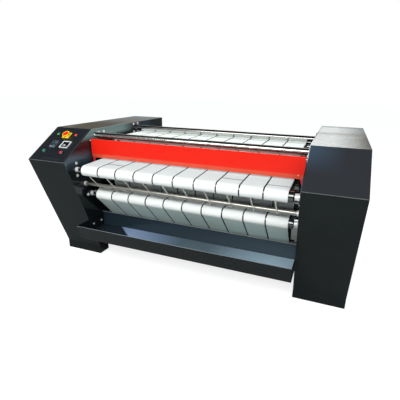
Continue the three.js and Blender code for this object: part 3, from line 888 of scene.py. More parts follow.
def half_profile(end, barrel, radius, side):
    """From the shaft's end to the barrel's chamfer, on one side of the roller."""
    floor_of_dish = barrel - BARREL_DISH
    steps = [
        (end, 0), (end, SHAFT_RADIUS - EDGE), (end - EDGE, SHAFT_RADIUS),
        (floor_of_dish, SHAFT_RADIUS), (floor_of_dish, radius - 0.006), (barrel, radius - 0.005),
        (barrel, radius - BARREL_CHAMFER), (barrel - BARREL_CHAMFER, radius),
    ]
    return [(side * x, r) for x, r in steps]


def roller_profile(node):
    low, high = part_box(node)
    left, right = barrel_ends(node)
    radius = radius_of(node)
    return half_profile(-low.x, -left, radius, -1) + half_profile(high.x, right, radius, 1)[::-1]


def locking_collar(node):
    start, end = barrel_ends(node)[1] + COLLAR_GAP, plate_face - BEARING_DEPTH[1] - SHAFT_GAP
    bore, rim = SHAFT_RADIUS + HAIR / 2, COLLAR_RADIUS
    return ring([(start, bore), (start, rim - EDGE), (start + EDGE, rim), (end - EDGE, rim),
                 (end, rim - EDGE), (end, bore)], middle(node))


for node, body in ROLLERS.items():
    at = middle(node)
    finish = bearing_iron if node == "return_tension_roller" else roller_steel
    piece(f"{node}_turned", [turned(roller_profile(node), on_x(at.y, at.z), 64)], finish,
          body, [node])
    if node in BRIGHT_HUBS:
        piece(f"{node}_collar", [locking_collar(node)], hub_chrome, body)
barrel_half = -barrel_ends("feed_front_roller")[0]
print("rollers:", len(ROLLERS), "half a barrel:", round(barrel_half, 4))

# %% [markdown]
# The heated cylinder is a polished drum with dished ends and hollow journals. Its bearings are
# larger, with four bolts each.

# %% Heated cylinder
drum_at = middle("heated_cylinder")
drum_radius = radius_of("heated_cylinder")
drum_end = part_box("heated_cylinder")[1].x
JOURNAL = 0.035
JOURNAL_BORE = 0.020
DRUM_DISH = 0.012
DRUM_RIM = 0.018
HOUSING_RADIUS = 0.075
HOUSING_NECK = 0.050
HOUSING_BOLT = 0.044

drum_half = [
    (drum_end, JOURNAL_BORE), (drum_end, JOURNAL - 0.002), (drum_end - 0.002, JOURNAL),
    (barrel_half - DRUM_DISH, JOURNAL), (barrel_half - DRUM_DISH, drum_radius - DRUM_RIM - 0.002),
    (barrel_half, drum_radius - DRUM_RIM), (barrel_half, drum_radius - 0.003),
    (barrel_half - 0.003, drum_radius),
]
drum = ring(drum_half + [(-x, r) for x, r in reversed(drum_half)], drum_at, steps=128)
piece("heated_cylinder_drum", [drum], cylinder_steel, "cylinder",
      ["heated_cylinder"])

housing = [
    (plate_face, JOURNAL + 0.001), (plate_face, HOUSING_RADIUS),
    (plate_face - 0.010, HOUSING_RADIUS), (plate_face - 0.012, HOUSING_NECK + 0.002),
    (plate_face - 0.018, HOUSING_NECK), (plate_face - 0.018, JOURNAL + 0.001),
]
for side, word in SIDES:
    piece(f"{word}_cylinder_bearing", [ring(housing, drum_at, side, 48)], bearing_iron)
    places = [(side * (plate_face - 0.011), drum_at.y + dy, drum_at.z + dz)
              for dy in (-HOUSING_BOLT, HOUSING_BOLT) for dz in (-HOUSING_BOLT, HOUSING_BOLT)]
    piece(f"{word}_cylinder_bearing_bolts", hex_bolts(places, (-side, 0, 0)), bolt_zinc)

# %% [markdown]
# ## Belts
# A belt is an endless strip of felt, stretched round its rollers. Its route is straight between
# two rollers and an arc round each of them, found from the line that touches both circles. The
# strip grows sideways from that route in a few steps, so that its edges can wander by a
# millimetre as real felt does, and solidify gives it its thickness.

# %% Route of a belt
BELT = 0.005
CLEARANCE = 0.0004
ARC_STEP = math.radians(7)
RUN_STEP = 0.030


def wheel(node):
    """Where the belt runs on a roller. The cylinder bears on the belt's outer face instead."""
    at = middle(node)
    if node == "heated_cylinder":
        return at.y, at.z, -(radius_of(node) + CLEARANCE + BELT)
    return at.y, at.z, radius_of(node) + CLEARANCE


def route(wheels):
    """Points of the belt's inner face, once round, anticlockwise seen from the right-hand end."""
    heading = []
    for (y, z, reach), (y2, z2, reach2) in zip(wheels, wheels[1:] + wheels[:1]):
        lean = math.acos((reach2 - reach) / math.hypot(y2 - y, z2 - z))
        heading.append(math.atan2(z2 - z, y2 - y) + lean - math.pi / 2)
    points = []
    for i, (y, z, reach) in enumerate(wheels):
        start = heading[i - 1]
        sweep = (heading[i] - start) % (2 * math.pi)
        if reach < 0:
            sweep -= 2 * math.pi
        steps = max(2, round(abs(sweep) / ARC_STEP))
        for k in range(steps + 1):
            a = start + sweep * k / steps
            points.append(Vector((y + reach * math.sin(a), z - reach * math.cos(a))))
    return divided(points)


def stretches(line):
    return zip(line, line[1:] + line[:1])


def divided(points):
    line = []
    for a, b in stretches(points):
        count = max(1, round((b - a).length / RUN_STEP))
        line += [a.lerp(b, k / count) for k in range(count)]
    return line


def length_of(line):
    return sum((b - a).length for a, b in stretches(line))


# %% Make a belt
BELT_COUNT = 10
BELT_COLUMNS = 6
WANDER = 0.0011
WANDER_SCALE = 9
SEED_STEP = 3.7
BELT_EDGE = 0.0016


def belt_strip(line, left, right, seed):
    bm = bmesh.new()
    edges = [bm.edges.new(pair) for pair in stretches([bm.verts.new((left, *p)) for p in line])]
    for _ in range(BELT_COLUMNS):
        edges = widened(bm, edges, (right - left) / BELT_COLUMNS)
    bmesh.ops.recalc_face_normals(bm, faces=bm.faces)
    for vert in bm.verts:
        edge = 1 if vert.co.x > right - TOUCH else -1 if vert.co.x < left + TOUCH else 0
        spot = Vector((seed * SEED_STEP + edge, vert.co.y * WANDER_SCALE, vert.co.z * WANDER_SCALE))
        vert.co.x -= edge * WANDER * (0.5 + 0.5 * noise.noise(spot))
    centre = Vector((0, *(sum(line, Vector((0, 0))) / len(line))))
    if sum(f.normal.dot(f.calc_center_median() - centre) for f in bm.faces) < 0:
        bmesh.ops.reverse_faces(bm, faces=bm.faces)
    return bm


def belt_span(name, number):
    low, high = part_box(f"{name}_{number:02d}")
    return low.x, high.x


def belt_set(name, title, round_what):
    line = route([wheel(node) for node in round_what])
    for number in range(1, BELT_COUNT + 1):
        left, right = belt_span(name, number)
        belt = piece(f"{title}_{number:02d}", [belt_strip(line, left, right, number)], belt_felt,
                     stands_for=[f"{name}_{number:02d}"])
        belt.data.materials.append(belt_backing.material)
        thick = belt.modifiers.new("felt", "SOLIDIFY")
        thick.thickness = BELT
        thick.offset = 1
        thick.material_offset = thick.material_offset_rim = 1
        soften = belt.modifiers.new("soft_edge", "BEVEL")
        soften.width = BELT_EDGE
        soften.segments = 2
        soften.limit_method = "ANGLE"
        soften.angle_limit = math.radians(50)
    print(title, "length", round(length_of(line), 3), "points", len(line))
    return line


feed_line = belt_set(
    "feed_belt", "feed_felt", ["feed_front_roller", "feed_rear_roller"])
ironing_line = belt_set(
    "ironing_belt", "ironing_felt",
    ["press_top_front_roller", "heated_cylinder", "press_bottom_front_roller",
     "press_bottom_rear_roller", "press_top_rear_roller"])
return_line = belt_set(
    "return_belt", "return_felt",
    ["return_front_roller", "return_tension_roller", "return_rear_roller"])

# %% [markdown]
# Each belt is closed by a lacing: a row of wire hooks across it. The hooks are small bars, set
# side by side. On the feed and the return belts the rows stand at different places along the
# route. The ironing belts were closed in one go, so theirs lie almost in line. A row's place is
# given as a share of the way round.

# %% Belt lacing
HOOKS = 26
HOOK_LENGTH = 0.014
HOOK_HEIGHT = 0.0006
HOOK_FILL = 0.6
LACING_MARGIN = 0.003
FEED_SEAMS = (0.52, 0.915, 0.61, 0.30, 0.66, 0.42, 0.71, 0.925, 0.36, 0.952)
IRONING_SEAMS = (0.913, 0.916, 0.912, 0.915, 0.911, 0.914, 0.917, 0.912, 0.915, 0.913)
RETURN_SEAMS = (0.62, 0.50, 0.71, 0.47, 0.66, 0.53, 0.56, 0.59, 0.68, 0.48)


def spot_on(line, share):
    """The point, and the direction, at a share of the way round a closed line."""
    goal = share * length_of(line)
    for a, b in stretches(line):
        step = (b - a).length
        if goal <= step:
            return a.lerp(b, goal / step), (b - a).normalized()
        goal -= step
    return line[0], (line[1] - line[0]).normalized()


def lacing(line, left, right, share):
    at, way = spot_on(line, share)
    place = frame_of((0, *at), X_WAY, (0, *way), (0, way.y, -way.x))
    pitch = (right - left - 2 * LACING_MARGIN) / HOOKS
    hooks = []
    for k in range(HOOKS):
        x = left + LACING_MARGIN + pitch * (k + 0.5)
        half = HOOK_FILL / 2 * pitch
        hooks.append(block((x - half, -HOOK_LENGTH / 2, BELT - HAIR),
                           (x + half, HOOK_LENGTH / 2, BELT + HOOK_HEIGHT), 0, place))
    return hooks


for name, line, seams in (("feed_belt", feed_line, FEED_SEAMS),
                          ("ironing_belt", ironing_line, IRONING_SEAMS),
                          ("return_belt", return_line, RETURN_SEAMS)):
    hooks = [hook for number, share in enumerate(seams, 1)
             for hook in lacing(line, *belt_span(name, number), share)]
    piece(f"{name}_lacing", hooks, lacing_wire)
print("hooks on a belt:", HOOKS)

# %% [markdown]
# ## Cross tubes
# Two chromed tubes tie the cabinets together. A tube is turned from a profile with a real wall.
# A narrow ring ends the front one. The rear one has a wide iron flange with four bolts, and the
# flange is cut flat below the cabinets' tops.

# %% Tubes and flanges
TUBE_WALL = 0.003
FLANGE = 0.006
FLANGE_GAP = 0.0004
BELOW_TOP = 0.0015


def cross_tube(node, tube_finish, flange_finish, flange_radius):
    low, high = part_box(node)
    at = middle(node)
    outer = radius_of(node)
    inner = outer - TUBE_WALL
    bore = outer + FLANGE_GAP
    wall = [(low.x, inner), (low.x, outer), (high.x, outer), (high.x, inner)]
    piece(f"{node}_polished", [ring(wall, at, steps=96)], tube_finish,
          stands_for=[node])
    face = plate_face - FLANGE
    rim = [(plate_face, bore), (plate_face, flange_radius), (face + EDGE, flange_radius),
           (face, flange_radius - EDGE), (face, bore)]
    flanges = [ring(rim, at, side, 64) for side in (-1, 1)]
    for vert in (v for flange in flanges for v in flange.verts):
        vert.co.z = min(vert.co.z, cabinet_top - BELOW_TOP)
    piece(f"{node}_flanges", flanges, flange_finish)
    return at


front_tube_at = cross_tube("front_cross_tube", tube_chrome, tube_chrome, 0.029)
rear_tube_at = cross_tube("rear_cross_tube", dull_chrome, bearing_iron, 0.066)

# %% Bolts of the tubes and the tray
REAR_BOLT_REACH = 0.052
front_bolts = [(0.037, 0.019), (0.104, 0.019)]
rear_bolts = [(REAR_BOLT_REACH * math.cos(a), REAR_BOLT_REACH * math.sin(a))
              for a in (math.radians(45 + 90 * k) for k in range(4))]
tray_low, tray_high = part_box("catch_tray")
tray_bolts = [(-0.422, 0.321), (-0.525, 0.323)]
bolt_rows = (
    (plate_face, front_tube_at, front_bolts),
    (plate_face - FLANGE, rear_tube_at, rear_bolts),
    (plate_face, Vector(), tray_bolts),
)
for side, word in SIDES:
    places = [(side * x, at.y + dy, at.z + dz) for x, at, row in bolt_rows for dy, dz in row]
    piece(f"{word}_frame_bolts", hex_bolts(places, (-side, 0, 0)), bolt_zinc)

# %% [markdown]
# ## Finger guard
# The guard is one bent sheet of red steel with a cheek at each end. It hangs on pins, so that a
# hand that comes too near pushes it inwards. The upper edge has a hem, and below the bend the
# face leans back. A leg runs on downwards at each end.

# %% Outlines of the guard
GUARD_SHEET = 0.002
SHEET_EDGE = 0.0005
GUARD_EDGE = 0.909
GUARD_LEAN = 0.009
HEM = 0.009
LEG_TOP = 0.027
LEG_FOOT = 0.015

guard_low, guard_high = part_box("finger_guard")
guard_half = max(p.x for p in points_of("finger_guard") if p.z < guard_low.z + 0.02)
guard_front = min(p.y for p in points_of("finger_guard") if p.z > guard_high.z - NEAR)
guard_top = guard_high.z - 0.0003
guard_line = [
    (guard_front + GUARD_SHEET + HEM, guard_top),
    (guard_front, guard_top),
    (guard_front, SKIRT_TOP),
    (guard_front + GUARD_LEAN, GUARD_EDGE),
]
cheek_outline = [
    (guard_front + EDGE, guard_high.z - EDGE),
    (guard_front + EDGE, SKIRT_TOP),
    (guard_front + GUARD_LEAN + EDGE, GUARD_EDGE),
    (guard_front + GUARD_LEAN + HEM, guard_low.z),
    (guard_high.y - HAIR, guard_low.z),
    (guard_high.y - HAIR, SKIRT_TOP),
    (guard_front + GUARD_SHEET + HEM, guard_high.z - EDGE),
]

# %% Guard
leg_start = Vector((0, guard_front + GUARD_LEAN + HAIR, GUARD_EDGE))
leg_end = Vector((0, guard_front + GUARD_LEAN + HEM + HAIR, guard_low.z + HAIR / 2))
leg_length = (leg_end - leg_start).length
leg_up = (leg_start - leg_end).normalized()
leg_place = frame_of(leg_start, X_WAY, leg_up, X_WAY.cross(leg_up))

guard_parts = [folded(guard_line, -guard_half + HAIR, guard_half - HAIR, GUARD_SHEET, SHEET_FOLD)]
for side in (-1, 1):
    end = side * (guard_half - HAIR / 2)
    guard_parts.append(drawn(cheek_outline, across(end), -side * GUARD_SHEET, SHEET_EDGE))
    leg_outline = [(end, EDGE), (end - side * LEG_TOP, EDGE), (end - side * LEG_FOOT, -leg_length),
                   (end, -leg_length)]
    guard_parts.append(drawn(leg_outline, leg_place, -GUARD_SHEET, SHEET_EDGE))
guard = piece("finger_guard_sheet", guard_parts, guard_paint, "guard",
              ["finger_guard"])
guard.visible_diffuse = False

# %% Pins and stud of the guard
PIN_RADIUS = 0.0038
PIN_DROP = 0.015
STUD_INSET = 0.039
STUD_HEIGHT = 0.938
STUD_SIZE = 0.0065
STUD_TILT = 0.27
pin_line = on_x(guard_front + GUARD_SHEET, guard_high.z - PIN_DROP)
pins = [pin(side * (guard_half - 0.0015), side * (plate_face + 0.004), PIN_RADIUS, pin_line, 24)
        for side in (-1, 1)]
piece("finger_guard_pins", pins, bolt_zinc, "guard")
stud_at = (guard_half - STUD_INSET, guard_front + 0.0012, STUD_HEIGHT)
piece("finger_guard_stud", round_screws([stud_at], (0, -1, STUD_TILT), STUD_SIZE), stud_paint,
      "guard")

# %% [markdown]
# ## Guide fingers
# Ten thin fingers lead the ironed sheets off the upper conveyor. They lie slanted on a cross rod,
# one under the middle of each belt. A bright collar stops the rod at each end.

# %% Rod and collars
finger_low, finger_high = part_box("guide_fingers")
rod_points = [p for p in points_of("guide_fingers") if abs(p.x) > finger_high.x - EDGE]
rod_y, rod_z = (sum(p[i] for p in rod_points) / len(rod_points) for i in (1, 2))
rod_radius = max(p.z for p in rod_points) - rod_z
rod = pin(finger_low.x, finger_high.x, rod_radius, on_x(rod_y, rod_z), 48)
piece("guide_rod", [rod], rod_steel)

COLLAR_FROM, COLLAR_TO = finger_high.x - 0.019, finger_high.x - 0.003
COLLAR_THICK = 0.005
collar = [(COLLAR_FROM, rod_radius + HAIR), (COLLAR_FROM, rod_radius + COLLAR_THICK),
          (COLLAR_TO, rod_radius + COLLAR_THICK), (COLLAR_TO, rod_radius + HAIR)]
rod_at = Vector((0, rod_y, rod_z))
piece("guide_rod_collars", [ring(collar, rod_at, side) for side in (-1, 1)], hub_chrome)

# %% Fingers
FINGER_HALF_WIDTH = 0.0045
FINGER_HALF_THICK = 0.0015
FINGER_EDGE = 0.0012
finger_parts = []
for number in range(1, BELT_COUNT + 1):
    x = sum(belt_span("feed_belt", number)) / 2
    start = Vector((x, finger_low.y + FINGER_EDGE, finger_high.z - FINGER_EDGE))
    end = Vector((x, finger_high.y - FINGER_EDGE, finger_low.z + FINGER_EDGE))
    finger_parts.append(block((-FINGER_HALF_WIDTH, -FINGER_HALF_THICK, 0),
                              (FINGER_HALF_WIDTH, FINGER_HALF_THICK, (end - start).length),
                              FINGER_EDGE, facing(start, end - start)))
piece("guide_finger_rack", finger_parts, finger_steel,
      stands_for=["guide_fingers"])

# %% [markdown]
# ## Catch tray
# The tray is folded from one sheet: a front that leans like the cabinets, a floor, a rear wall
# and a hem on both long edges, whose tops carry a painted highlight. Its floor is a sheet laid in,
# which carries painted light.

# %% Tray
TRAY_SHEET = 0.0025
TRAY_HEM = 0.009
HEM_DROP = 0.007
tray_points = points_of("catch_tray")
toe_z = tray_low.z
toe_y = min(p.y for p in tray_points if p.z < toe_z + NEAR)
heel_y = tray_high.y
lip_y = tray_low.y
lip_z = max(p.z for p in tray_points if p.y < lip_y + NEAR)
heel_z = min(p.z for p in tray_points if p.y > heel_y - NEAR)
tray_line = [
    (lip_y + TRAY_HEM, lip_z - HEM_DROP),
    (lip_y + TRAY_HEM, lip_z - HAIR),
    (lip_y, lip_z - HAIR),
    (toe_y, toe_z),
    (heel_y, heel_z),
    (heel_y, tray_high.z - HAIR),
    (heel_y - TRAY_HEM, tray_high.z - HAIR),
    (heel_y - TRAY_HEM, tray_high.z - HEM_DROP),
]
tray_fold = folded(tray_line, tray_low.x, tray_high.x, TRAY_SHEET, 0.0025)
tray = piece("catch_tray_sheet", [tray_fold], tray_paint, stands_for=["catch_tray"])
tray.data.materials.append(tray_front_paint.material)
tray.data.materials.append(tray_edge_highlight.material)
# The faces on top of the hems take the painted highlight.
for face in tray.data.polygons:
    on_edge = face.normal.z > 0.5 and face.center.z > lip_z - 0.004
    face.material_index = 2 if on_edge else 1 if face.center.y < toe_y + 0.004 else 0

# %% Ends and floor of the tray
FLOOR_GAP = 0.004
FLOOR_SHEET = 0.0008
end_outline = [(lip_y + 0.002, lip_z - EDGE), (toe_y + EDGE, toe_z + EDGE),
               (heel_y - EDGE, heel_z + EDGE), (heel_y - EDGE, lip_z - EDGE)]
tray_side = tray_high.x - HAIR / 2
tray_ends = [drawn(end_outline, across(side * tray_side), -side * TRAY_SHEET, SHEET_EDGE)
             for side in (-1, 1)]
piece("catch_tray_ends", tray_ends, plate_paint)
floor_line = [(toe_y + FLOOR_GAP, toe_z + 0.0032), (heel_y - FLOOR_GAP, heel_z + 0.0030)]
tray_floor = folded(floor_line, tray_low.x + FLOOR_GAP, tray_high.x - FLOOR_GAP, FLOOR_SHEET, 0)
piece("catch_tray_floor", [tray_floor], tray_floor_paint)

# %% [markdown]
# ## Rear cover
# The rear cover closes the machine between the cabinets. It is a folded sheet with a slanted
# corner, held by screws along its ends.

# %% Rear cover
COVER_FOLD = 0.006
SCREW_INSET = 0.02
cover_low, cover_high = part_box("rear_cover")
cover_points = points_of("rear_cover")
corner_z = max(p.z for p in cover_points if p.y > cover_high.y - NEAR)
corner_y = max(p.y for p in cover_points if p.z > cover_high.z - NEAR)
cover_line = [
    (cover_high.y - HAIR, cover_low.z),
    (cover_high.y - HAIR, corner_z),
    (corner_y, cover_high.z - HAIR),
    (cover_low.y, cover_high.z - HAIR),
]
piece("rear_cover_sheet", [folded(cover_line, cover_low.x, cover_high.x, SHEET, COVER_FOLD)],
      casing_paint, stands_for=["rear_cover"])
places = [(side * (cover_high.x - SCREW_INSET), cover_high.y - 2 * HAIR,
           cover_low.z + share * (corner_z - cover_low.z))
          for side in (-1, 1) for share in (0.05, 0.35, 0.65, 0.95)]
piece("rear_cover_screws", round_screws(places, (0, 1, 0)), bolt_zinc)

# %% [markdown]
# ## Control panel
# The controls are laid out on the sloping face of the left cabinet. A place on it is given from
# the cabinet's outer edge (u), up the slope from the nose (v) and out of the face (n), and one
# matrix turns such a place into the machine's own.

# %% Place of the panel
PANEL_SHEET = 0.0025
PANEL_EDGE = 0.0008
panel = Matrix.Translation((-cabinet_outer, nose.y, nose.z)) @ Matrix.Rotation(slope_angle, 4, "X")
panel_out = panel.to_3x3() @ Z_WAY


def panel_box(node):
    """The low and the high corner of a node, in the panel's own directions."""
    local = [panel.inverted() @ p for p in points_of(node)]
    return [Vector(pick(p[i] for p in local) for i in range(3)) for pick in (min, max)]


def on_panel(u, v, n=0.0):
    return panel @ Matrix.Translation((u, v, n))


def control_middle(node):
    low, high = panel_box(node)
    return (low.x + high.x) / 2, (low.y + high.y) / 2


# %% Panel plate with bezels
ROUND_CONTROLS = ("green_lamp", "red_lamp", "start_button", "stop_button")
BEZEL_OUTER = 0.0165
BEZEL_INNER = 0.0131
BEZEL_TOP = 0.009
plate_low, plate_high = panel_box("control_panel")
panel_n = plate_low.z + PANEL_SHEET
print("panel", [round(c, 4) for corner in (plate_low, plate_high) for c in corner])

panel_plate = block(plate_low, (plate_high.x, plate_high.y, panel_n), PANEL_EDGE, panel)
piece("control_panel_plate", [panel_plate], panel_paint,
      stands_for=["control_panel"])
bezel_profile = [
    (0, BEZEL_INNER), (0, BEZEL_OUTER), (BEZEL_TOP - 0.003, BEZEL_OUTER),
    (BEZEL_TOP - 0.0006, BEZEL_OUTER - 0.0018), (BEZEL_TOP, BEZEL_OUTER - 0.0030),
    (BEZEL_TOP - 0.001, BEZEL_INNER), (0, BEZEL_INNER),
]
bezels = [turned(bezel_profile, on_panel(*control_middle(node), panel_n), 40)
          for node in ROUND_CONTROLS]
piece("control_bezels", bezels, bezel_chrome)


# %% Lamps and buttons
def dome_profile(height, radius, rise):
    """A cap whose side is straight up to height minus rise and then rounds over to the middle."""
    arc = [(height - rise + rise * math.sin(a), radius * math.cos(a))
           for a in (math.radians(15 * k) for k in range(6))]
    return [(0, 0), (0, radius)] + arc + [(height, 0)]


def button_profile(height, radius):
    return [(0, 0), (0, radius), (height - 0.0015, radius), (height - 0.0004, radius - 0.0006),
            (height, radius - 0.0016), (height - 0.0008, radius * 0.5), (height - 0.0010, 0)]


for node, finish, slot, body in (
    ("green_lamp", green_plastic, "green_plastic", MACHINE),
    ("red_lamp", red_plastic, "red_plastic", MACHINE),
    ("start_button", start_plastic, "green_plastic", "start"),
    ("stop_button", stop_plastic, "red_plastic", "stop"),
):
    low, high = panel_box(node)
    radius = (high.x - low.x) / 2 - HAIR / 2
    tall = high.z - low.z
    lamp = node.endswith("lamp")
    profile = dome_profile(tall, radius, tall * 0.6) if lamp else button_profile(tall, radius)
    cap = turned(profile, on_panel(*control_middle(node), low.z), 40)
    piece(f"{node}_cap", [cap], finish, body, [node])

# %% [markdown]
# The main switch is a yellow box with a round collar and a red knob whose grip stands up like a
# fin, so that its position shows from afar. The grip points along the slope at rest.

# %% Main switch
TURRET = 0.011
TURRET_RADIUS = 0.0315
RING = 0.0055
SWITCH_EDGE = 0.003
SCREW_REACH = 0.026
SCREW_SIZE = 0.0022
switch_low, switch_high = panel_box("main_switch_base")
su, sv = control_middle("main_switch_base")
half = (switch_high.x - switch_low.x) / 2
box_top = switch_high.z - TURRET
turret_top = TURRET + RING
box_low, box_high = (su - half, sv - half, switch_low.z), (su + half, sv + half, box_top)
switch_box = block(box_low, box_high, SWITCH_EDGE, panel)
turret_profile = [
    (-0.001, 0), (-0.001, TURRET_RADIUS), (0.0, TURRET_RADIUS),
    (turret_top - 0.001, TURRET_RADIUS - 0.0002), (turret_top, TURRET_RADIUS - 0.0012),
    (turret_top, 0.0266), (TURRET - 0.0004, 0.0260), (TURRET - 0.0004, 0),
]
turret = turned(turret_profile, on_panel(su, sv, box_top), 48)
piece("main_switch_body", [switch_box, turret], switch_yellow,
      stands_for=["main_switch_base"])
corners = [panel @ Vector((su + a * SCREW_REACH, sv + b * SCREW_REACH, box_top - HAIR))
           for a in (-1, 1) for b in (-1, 1)]
piece("main_switch_screws", round_screws(corners, panel_out, SCREW_SIZE), bolt_zinc)

# %% Knob of the main switch
KNOB_RADIUS = 0.0242
KNOB_DISC = 0.0055
GRIP_DROP = 0.0098
GRIP_HALF_WIDTH = 0.0072
GRIP_HALF_LENGTH = 0.0205
MARK_HALF_WIDTH = 0.001
knob_low, knob_high = panel_box("main_switch_knob")
grip_top = knob_high.z - GRIP_DROP
disc_profile = [(0, 0), (0, KNOB_RADIUS), (KNOB_DISC - 0.002, KNOB_RADIUS - 0.0005),
                (KNOB_DISC, KNOB_RADIUS - 0.002), (KNOB_DISC, 0)]
knob_disc = turned(disc_profile, on_panel(su, sv, knob_low.z), 48)
grip = block((su - GRIP_HALF_WIDTH, sv - GRIP_HALF_LENGTH, knob_low.z + 0.001),
             (su + GRIP_HALF_WIDTH, sv + GRIP_HALF_LENGTH, grip_top), SWITCH_EDGE, panel)
piece("main_switch_grip", [knob_disc, grip], red_plastic, "switch_knob",
      ["main_switch_knob"])
mark = block((su - MARK_HALF_WIDTH, sv + 0.008, grip_top - 0.0006),
             (su + MARK_HALF_WIDTH, sv + 0.016, grip_top + HAIR), 0, panel)
piece("main_switch_mark", [mark], digit_white, "switch_knob")

# %% [markdown]
# Both instruments have a frame, a dark window set back in it, and figures of seven bars each, as
# such displays have. The figures only say a temperature and a speed.

# %% Figures of seven bars
SEGMENTS = {"0": "abcdef", "1": "bc", "3": "abgcd", "5": "afgcd"}
BAR_PLACES = {
    "a": (0, 1), "g": (0, 0), "d": (0, -1), "f": (-0.5, 0.5), "b": (0.5, 0.5), "e": (-0.5, -0.5),
    "c": (0.5, -0.5),
}
BAR_THICK = 0.0004
BAR_LONG, BAR_SHORT = 0.42, 0.11
FIGURE_PITCH = 1.6


def figure(digit, u, v, n, width):
    bars = []
    for du, dv in (BAR_PLACES[name] for name in SEGMENTS[digit]):
        long, short = width * BAR_LONG, width * BAR_SHORT
        a, b = (short, long) if du else (long, short)
        x, y = u + du * width, v + dv * width
        bars.append(block((x - a, y - b, n), (x + a, y + b, n + BAR_THICK), 0, panel))
    return bars


def number_row(text, u, v, n, width):
    start = u - (len(text) - 1) * width * FIGURE_PITCH / 2
    return [bar for i, digit in enumerate(text)
            for bar in figure(digit, start + i * width * FIGURE_PITCH, v, n, width)]


# %% Instruments
FRAME_EDGE = 0.0009
SET_BACK = 0.0025
STEP_WIDTH = 0.0012
WINDOW_GAP = 0.0005
WINDOW_TOP = 0.0021
WINDOW_BACK = 0.0030


def framed(node, finish, rim):
    """The frame and the window of an instrument. Returns the middle of the window's face."""
    low, high = panel_box(node)
    bm = block(low, high, 0, panel)
    face = [f for f in bm.faces if f.normal.dot(panel_out) > 0.9]
    bmesh.ops.inset_region(bm, faces=face, thickness=rim, depth=0)
    bmesh.ops.inset_region(bm, faces=face, thickness=STEP_WIDTH, depth=-SET_BACK)
    piece(f"{node}_frame", [rounded(bm, FRAME_EDGE)], finish, stands_for=[node])
    edge = rim + WINDOW_GAP
    window = block((low.x + edge, low.y + edge, high.z - WINDOW_BACK),
                   (high.x - edge, high.y - edge, high.z - WINDOW_TOP), 0, panel)
    piece(f"{node}_frame_window", [window], screen_glass)
    return *control_middle(node), high.z - WINDOW_TOP


u, v, n = framed("speed_display", display_plastic, 0.007)
piece("speed_display_figures", number_row("35", u - 0.006, v - 0.010, n, 0.0105), digit_white)
u, v, n = framed("temperature_controller", controller_plastic, 0.005)
rows = number_row("150", u, v + 0.018, n, 0.0085) + number_row("150", u, v - 0.006, n, 0.0065)
piece("temperature_controller_figures", rows, digit_green)
KEY_PITCH = 0.011
KEY_HALF = 0.0035
keys = [block((u + k * KEY_PITCH - KEY_HALF, v - 0.030, n),
              (u + k * KEY_PITCH + KEY_HALF, v - 0.024, n + 0.001), 0.0003, panel)
        for k in (-1.5, -0.5, 0.5, 1.5)]
piece("temperature_controller_keys", keys, display_plastic)

# %% [markdown]
# ## Gear motor
# It drives the cylinder from inside the right cabinet. Only its general form matters, with the
# cooling ribs that such motors have round the housing.

# %% Motor
GEARBOX_DEPTH = 0.120
RIB_TOP = 0.0615
RIB_FLOOR = 0.054
RIBS = 12
FAN_COVER = 0.036
FAN_RADIUS = 0.0555
motor_low, motor_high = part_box("gear_motor")
motor_at = middle("gear_motor")
box_end = motor_low.x + GEARBOX_DEPTH
motor_end = motor_high.x - FAN_COVER
inside = Vector((HAIR, HAIR, HAIR))
gear_case = block(motor_low + inside, (box_end, motor_high.y - HAIR, motor_high.z - HAIR), 0.008)
pitch = (motor_end - box_end) / RIBS
ribbed = [(box_end - 0.002, 0)]
for k in range(RIBS):
    ribbed += [(box_end + (k + share) * pitch, radius) for share, radius in (
        (0, RIB_FLOOR), (0.35, RIB_FLOOR), (0.5, RIB_TOP), (0.85, RIB_TOP))]
ribbed += [(motor_end, FAN_RADIUS - 0.0005), (motor_end, FAN_RADIUS),
           (motor_high.x - 0.004, FAN_RADIUS), (motor_high.x, 0.050), (motor_high.x, 0)]
motor = turned(ribbed, on_x(motor_at.y, motor_at.z))
piece("gear_motor_body", [gear_case, motor], motor_paint, stands_for=["gear_motor"])

# %% [markdown]
# ## Flat faces between rounded edges
# A rounded edge shades smoothly into the flat face beside it, and would make the face look
# swollen. Weighted normals give the large face the say, so a flat sheet mirrors like a flat one.
# The felt is left out, since it mirrors nothing.

# %% Weighted normals
for made in sheet_and_turned:
    weighted = made.modifiers.new("flat_faces", "WEIGHTED_NORMAL")
    weighted.keep_sharp = True
print("weighted:", len(sheet_and_turned))

# %% [markdown]
# ## The floor
# A wide pale sheet. Where the camera sees it, a little light of its own lifts it to white, but not
# under the machine, where a painted shadow darkens it instead.


# %% Floor
def stage_sheet(name, place, half_width, half_depth, finish):
    bm = bmesh.new()
    bmesh.ops.create_grid(bm, x_segments=1, y_segments=1, size=1,
                          matrix=place @ Matrix.Diagonal((half_width, half_depth, 1, 1)))
    return added(name, bm, finish)


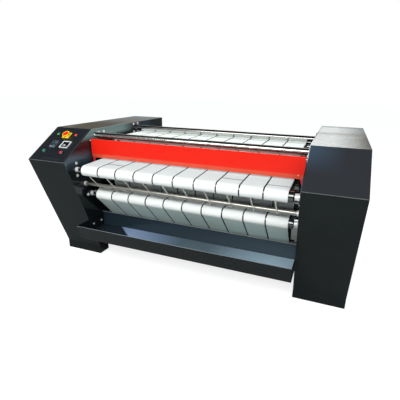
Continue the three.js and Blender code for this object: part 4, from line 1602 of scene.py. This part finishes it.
FLOOR_LIFT = 0.80
FLOOR_GREY = (0.46, 0.46, 0.46)
FLOOR_HALF = 30
floor_finish = Finish("floor_white", FLOOR_GREY, 0.8, specular_ior_level=0.0)
between = floor_finish.spread(floor_finish.axis("X") * floor_finish.axis("X"), 0.95, 0.60)
# A painted shadow under the machine: a darker colour, and less of the lift.
painted_shadow = between * floor_finish.along("Y", 0.0, 0.35) * floor_finish.along("Y", 1.06, 0.86)
floor_finish.set("Base Color", floor_finish.blend(FLOOR_GREY, (painted_shadow, (0.10, 0.11, 0.10))))
seen_floor = floor_finish.node("LightPath", out="Is Camera Ray") * (1 - painted_shadow * 0.88) * FLOOR_LIFT
glow = floor_finish.node("Emission", sockets={"Strength": seen_floor})
plain = Value(floor_finish.tree, floor_finish.shader.outputs[0])
both = floor_finish.node("AddShader", sockets={0: glow, 1: plain})
connect(floor_finish.tree, floor_finish.tree.nodes["Material Output"].inputs["Surface"], both)
floor = stage_sheet("floor", Matrix(), FLOOR_HALF, FLOOR_HALF, floor_finish)

# %% [markdown]
# A dark card hangs high over the machine and another stands far in front of it. They keep the
# sloping faces dark, and put a dark band into polished steel between the bright lines of the
# lamps. A grey carpet lies far behind, for the inner side plates to mirror. All three show in
# polished surfaces alone, because camera rays and soft light pass through them.

# %% Dark cards and the carpet
card_black = Finish("card_black", (0.004, 0.004, 0.004), 1.0, specular_ior_level=0.0)
carpet_grey = Finish("carpet_grey", (0.16, 0.19, 0.20), 1.0, specular_ior_level=0.0)
UPRIGHT = Matrix.Rotation(math.pi / 2, 4, "X")
above = Matrix.Translation((0, -0.8, 4.2))
behind = Matrix.Translation((0, 15.0, 0.004))
before = Matrix.Translation((0, -7.0, 3.1)) @ UPRIGHT
for name, place, half_width, half_depth, finish in (
    ("dark_card_above", above, 8, 3.3, card_black),
    ("grey_carpet_behind", behind, 14, 12.5, carpet_grey),
    ("dark_card_before", before, 9, 3.0, card_black),
):
    card = stage_sheet(name, place, half_width, half_depth, finish)
    card.visible_camera = False
    card.visible_diffuse = False
    card.visible_shadow = False
